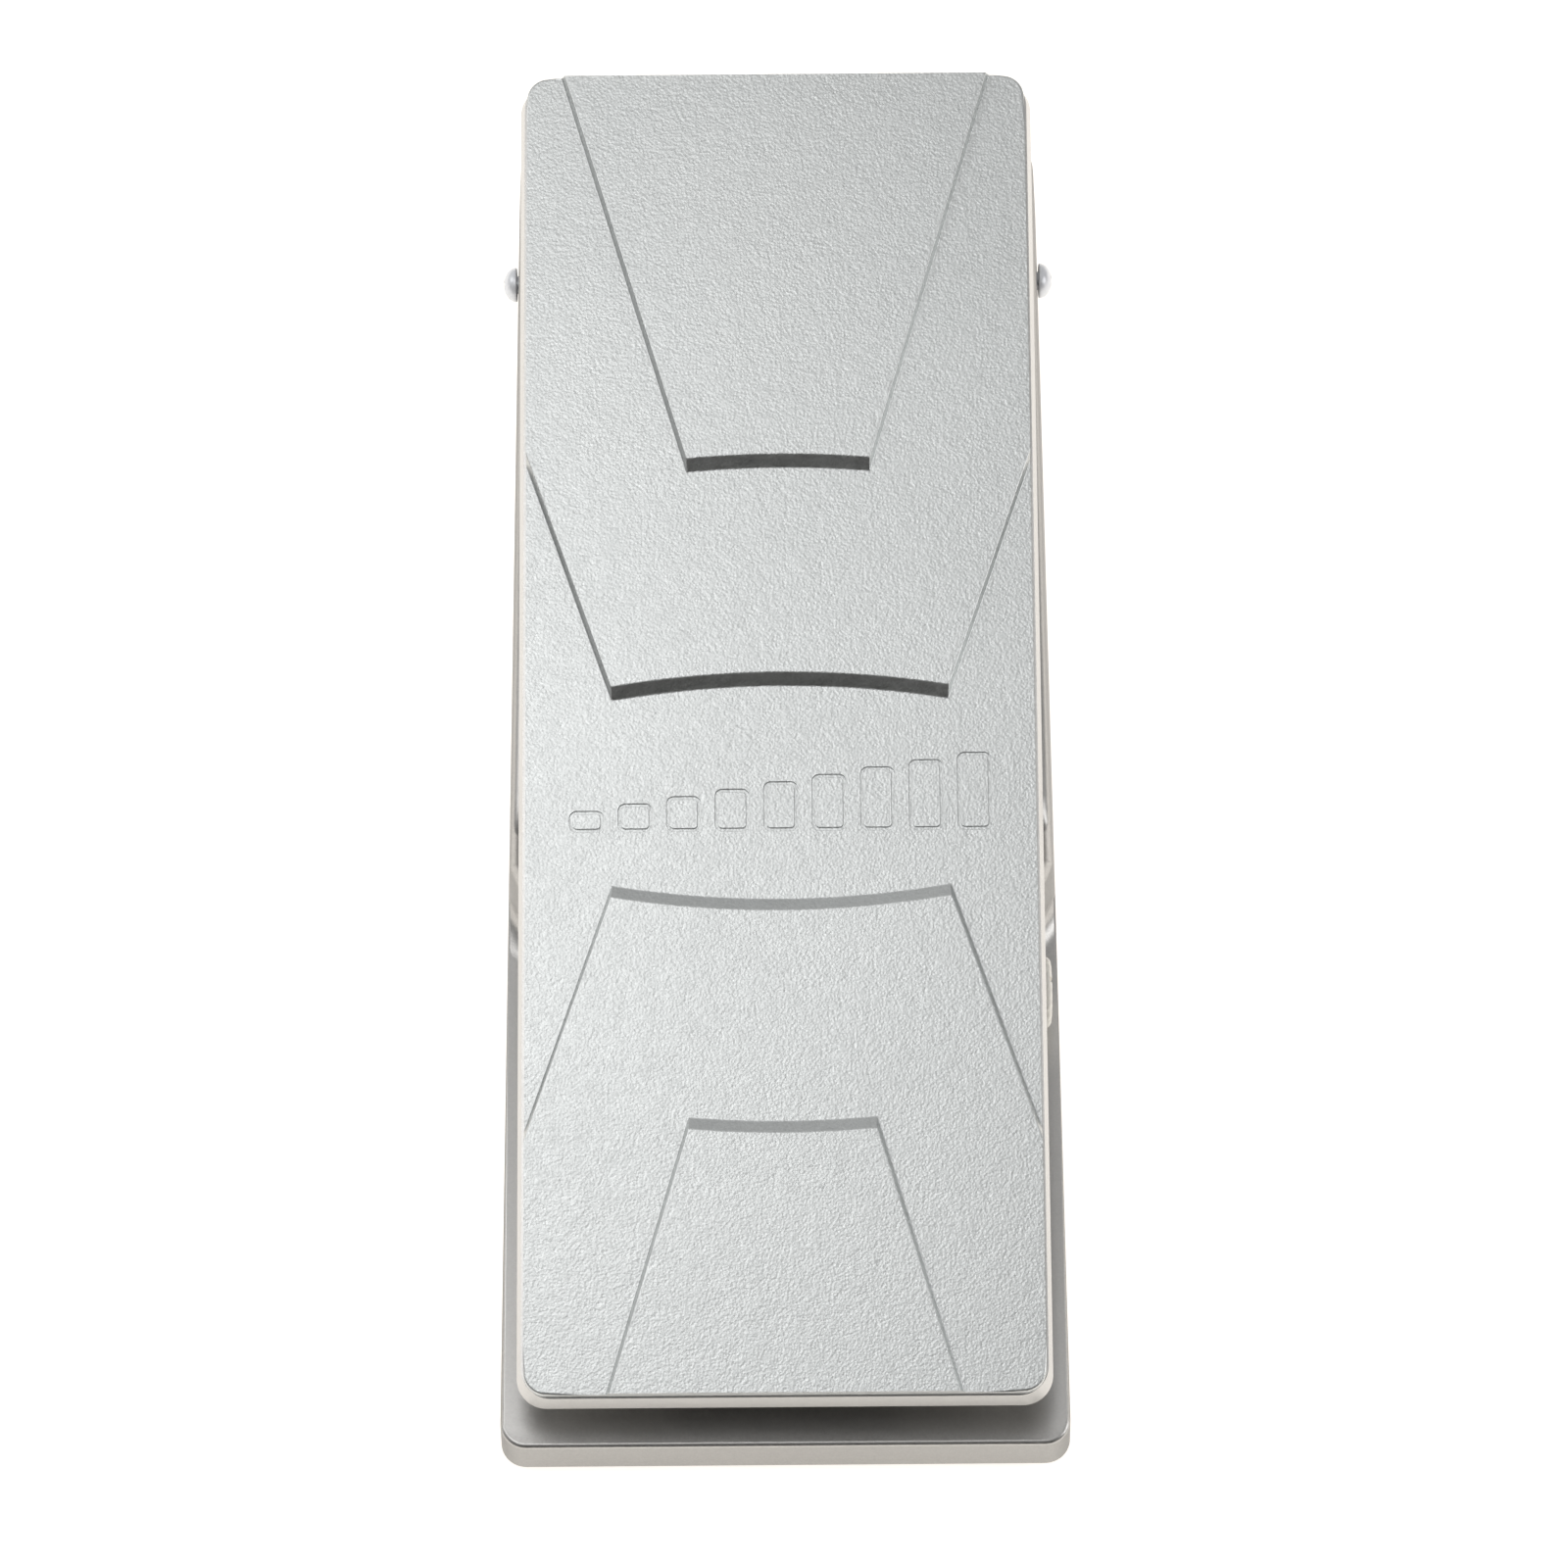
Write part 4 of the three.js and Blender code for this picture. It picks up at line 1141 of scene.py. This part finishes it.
# ---- jacks ----
class PEDAL_OT_jacks(bpy.types.Operator):
    """Mould the six phone jacks with threaded sleeves, and their hexagon nuts"""

    bl_idname = "pedal.jacks"
    bl_label = "Jacks"

    def execute(self, context):
        body, nut = self.jack_mesh(), self.nut_mesh()
        for name in JACKS:
            self.copy_to(body, "jack_" + name, "black_plastic")
            self.copy_to(nut, "jack_nut_" + name, "bright_nickel")
        bpy.data.objects.remove(body)
        bpy.data.objects.remove(nut)
        return {"FINISHED"}

    def copy_to(self, master, node, slot):
        low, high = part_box(node)
        middle = (low + high) / 2
        piece = bpy.data.objects.new(node + "_skin", master.data.copy())
        bpy.context.scene.collection.objects.link(piece)
        height = 18 * MM
        piece.data.transform(Matrix.Translation((middle.x, 0, height)))
        settle(piece, finish_for(slot), "base", [node])

    def jack_mesh(self):
        """A square body behind the wall, a threaded sleeve through it, and a flared bore."""
        low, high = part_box("jack_" + JACKS[0])
        back, mouth = low.y / MM, high.y / MM
        front = back + 24
        shell = new_piece("jack_shell", block((-7, back, -7), (7, front, 7), 0.5))
        profile = [(0, front - 2), (4.8, front - 2), (4.8, front + 3.5)]
        turns = int((mouth - 0.5 - front - 4) / 0.8)
        for i in range(turns):
            start = front + 4 + 0.8 * i
            profile += [(4.45, start), (4.45, start + 0.1), (4.8, start + 0.4), (4.8, start + 0.55)]
        profile += [(4.45, mouth - 0.45), (4.5, mouth - 0.2), (4.3, mouth), (0, mouth)]
        sleeve = new_piece("jack_sleeve", self.lie_down(lathe(profile, 56)))
        combine(shell, [sleeve], "UNION")
        bore = [
            (0, back + 2),
            (3.4, back + 2),
            (3.4, mouth - 0.5),
            (3.9, mouth + 0.02),
            (3.9, mouth + 1),
            (0, mouth + 1),
        ]
        hollow = new_piece("jack_bore", self.lie_down(lathe(bore, 48)))
        return combine(shell, [hollow])

    def nut_mesh(self):
        """A hexagon nut, its corners cut back by a cone on both faces."""
        low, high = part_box("jack_nut_" + JACKS[0])
        start, end = low.y / MM, high.y / MM
        outline = [
            (6.6 * MM * math.cos(math.radians(60 * i + 30)), 6.6 * MM * math.sin(math.radians(60 * i + 30)))
            for i in range(6)
        ]
        nut = new_piece("nut", self.lie_down(prism(outline, start * MM, end * MM)))
        cone = [(0, start), (5.9, start), (6.7, start + 0.42), (6.7, end - 0.42), (5.9, end), (0, end)]
        combine(nut, [new_piece("nut_cone", self.lie_down(lathe(cone, 60)))], "INTERSECT")
        bore = [(0, start - 1), (5.05, start - 1), (5.05, end - 0.35), (5.6, end + 0.2), (0, end + 0.2)]
        combine(nut, [new_piece("nut_bore", self.lie_down(lathe(bore, 60)))])
        return nut

    def lie_down(self, form):
        """Turns a form from standing on Z to lying along +Y."""
        form.transform(Matrix.Rotation(-math.pi / 2, 4, "X"))
        return form


# ---- rubber feet and stops ----
class PEDAL_OT_rubber(bpy.types.Operator):
    """Mould the four feet and the four stops under the treadle"""

    bl_idname = "pedal.rubber"
    bl_label = "Feet and stops"

    def execute(self, context):
        for end in ("heel", "toe"):
            for hand in HANDS:
                self.foot(f"foot_{end}_{hand}")
                self.stop(f"{end}_stop_{hand}")
        return {"FINISHED"}

    def foot(self, node):
        low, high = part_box(node)
        top = (high.z - low.z) / MM
        profile = [
            (0, 0.5),
            (2.6, 0.5),
            (3.0, 0.35),
            (3.3, 0.05),
            (3.6, 0),
            (7.0, 0),
            (7.4, 0.08),
            (7.75, 0.35),
            (8.0, 0.8),
            (8.0, top - 0.15),
            (7.85, top),
            (0, top),
        ]
        self.stand(node, profile, (low + high) / 2, low.z)

    def stop(self, node):
        low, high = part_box(node)
        tall = (high.z - low.z) / MM
        profile = [(0, 0), (6, 0), (6, tall - 2.2)]
        for i in range(1, 7):
            angle = math.pi / 2 * i / 6
            profile.append((4.4 + 1.6 * math.cos(angle), tall - 2.2 + 1.7 * math.sin(angle)))
        profile += [(3.0, tall - 0.28), (1.5, tall - 0.07), (0, tall)]
        piece = self.stand(node, profile, (low + high) / 2, low.z)
        if node.startswith("toe"):
            reshape(piece, self.trim_to_slope)

    def stand(self, node, profile, middle, height):
        piece = new_piece(node + "_skin", lathe(profile, 56))
        piece.data.transform(Matrix.Translation((middle.x, middle.y, height)))
        return settle(piece, finish_for("black_rubber"), "base", [node])

    def trim_to_slope(self, form):
        """Cuts a toe stop's foot to the slope of the casting that it stands on."""
        flat_end = Vector((0, 15.5 * MM, 46.3 * MM))
        toe_end = Vector((0, 138.5 * MM, 33.3 * MM))
        along = (toe_end - flat_end).normalized()
        outward = Vector((1, 0, 0)).cross(along)
        if outward.z > 0:
            outward = -outward
        geometry = form.verts[:] + form.edges[:] + form.faces[:]
        cut = bmesh.ops.bisect_plane(
            form, geom=geometry, plane_co=flat_end, plane_no=outward, clear_outer=True
        )
        rim = [item for item in cut["geom_cut"] if isinstance(item, bmesh.types.BMEdge)]
        bmesh.ops.holes_fill(form, edges=rim)


# ---- works ----
def smooth_group():
    """Geometry nodes that weld a faceted solid and shade it smooth between its corners."""
    found = bpy.data.node_groups.get("smooth_between_corners")
    if found:
        return found
    tree = bpy.data.node_groups.new("smooth_between_corners", "GeometryNodeTree")
    tree.interface.new_socket("Geometry", in_out="INPUT", socket_type="NodeSocketGeometry")
    tree.interface.new_socket("Geometry", in_out="OUTPUT", socket_type="NodeSocketGeometry")
    writer = NodeWriter(tree)
    start = writer.node("NodeGroupInput")
    welded = writer.node("GeometryNodeMergeByDistance", {}, {"Geometry": start, "Distance": 0.002 * MM})
    bare = writer.node("GeometryNodeRemoveAttribute", {}, {"Geometry": welded, "Name": "custom_normal"})
    smooth = writer.node("GeometryNodeSetShadeSmooth", {"domain": "FACE"}, {"Geometry": bare})
    angle = writer.node("GeometryNodeInputMeshEdgeAngle", output="Unsigned Angle")
    corner = writer.node("FunctionNodeCompare", {"operation": "GREATER_THAN"}, {"A": angle, "B": SHARP})
    crisp = writer.node(
        "GeometryNodeSetShadeSmooth",
        {"domain": "EDGE"},
        {"Geometry": smooth, "Selection": corner, "Shade Smooth": False},
    )
    end = tree.nodes.new("NodeGroupOutput")
    writer.plug(crisp, end.inputs[0])
    return tree


def add_nodes(piece, group):
    piece.modifiers.new("smooth", "NODES").node_group = group


class PEDAL_OT_works(bpy.types.Operator):
    """Wind the brake spring, and finish the pieces that stay as the CAD made them"""

    bl_idname = "pedal.works"
    bl_label = "Works"

    def execute(self, context):
        self.wind_spring()
        width = context.scene.pedal_edges.small_edge
        for name, node in frame["nodes"].items():
            if not node.hide_render:
                self.dress(node, width)
        return {"FINISHED"}

    def wind_spring(self):
        low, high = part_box("tension_spring")
        wire = 0.55 * MM
        radius = (high.x - low.x) / 2 - wire
        middle = (low + high) / 2
        turns = 5
        steps = turns * 28
        sides = 10
        bottom, top = low.z + wire, high.z - wire
        loops = []
        for i in range(steps + 1):
            share = i / steps
            angle = math.tau * turns * share
            rise = bottom + (top - bottom) * self.even_ends(share, turns)
            out = Vector((math.cos(angle), math.sin(angle), 0))
            centre = Vector((middle.x, middle.y, rise)) + out * radius
            ring = []
            for k in range(sides):
                around = math.tau * k / sides
                ring.append(centre + out * wire * math.cos(around) + Vector((0, 0, wire * math.sin(around))))
            loops.append(ring)
        spring = new_piece("tension_spring_skin", loft(loops))
        settle(spring, finish_for("plated_steel"), "base", ["tension_spring"], False)

    def even_ends(self, share, turns):
        """Flattens the first and last half turn of the spring, as ground ends are."""
        rest = 0.5 / turns
        return min(1, max(0, (share - rest) / (1 - 2 * rest)))

    def dress(self, node, width):
        slot = node.material_slots[0].material.name
        node.material_slots[0].material = finish_for(slot)
        add_nodes(node, smooth_group())
        flats = node.modifiers.new("flats", "DECIMATE")
        flats.decimate_type = "DISSOLVE"
        flats.angle_limit = math.radians(0.5)
        bevel = node.modifiers.new("broken_edges", "BEVEL")
        bevel.width = width
        bevel.segments = 2
        bevel.limit_method = "ANGLE"
        bevel.angle_limit = math.radians(40)
        add_nodes(node, smooth_group())


# ---- panel and registration ----
OPERATORS = (
    PEDAL_OT_stage,
    PEDAL_OT_castings,
    PEDAL_OT_tread,
    PEDAL_OT_knob,
    PEDAL_OT_screws,
    PEDAL_OT_jacks,
    PEDAL_OT_rubber,
    PEDAL_OT_works,
)
GROUPS = {
    "pedal_colours": PEDAL_PG_colours,
    "pedal_tread": PEDAL_PG_tread,
    "pedal_edges": PEDAL_PG_edges,
    "pedal_stage": PEDAL_PG_stage,
}


class PEDAL_PT_pieces(bpy.types.Panel):
    """The pieces of the pedal, in the order they are made"""

    bl_idname = "PEDAL_PT_pieces"
    bl_label = "Volume pedal"
    bl_space_type = "VIEW_3D"
    bl_region_type = "UI"
    bl_category = "Pedal"

    def draw(self, context):
        for operator in OPERATORS:
            self.layout.operator(operator.bl_idname)


def register():
    for group in GROUPS.values():
        bpy.utils.register_class(group)
    for name, group in GROUPS.items():
        setattr(bpy.types.Scene, name, PointerProperty(type=group))
    for cls in (*OPERATORS, PEDAL_PT_pieces):
        bpy.utils.register_class(cls)


def unregister():
    for cls in (PEDAL_PT_pieces, *OPERATORS):
        bpy.utils.unregister_class(cls)
    for name, group in GROUPS.items():
        delattr(bpy.types.Scene, name)
        bpy.utils.unregister_class(group)


def main():
    """Makes every piece."""
    register()
    bpy.ops.pedal.stage()
    bpy.ops.pedal.castings()
    bpy.ops.pedal.tread()
    bpy.ops.pedal.knob()
    bpy.ops.pedal.screws()
    bpy.ops.pedal.jacks()
    bpy.ops.pedal.rubber()
    bpy.ops.pedal.works()
    bpy.context.view_layer.update()


if __name__ == "__main__":
    main()
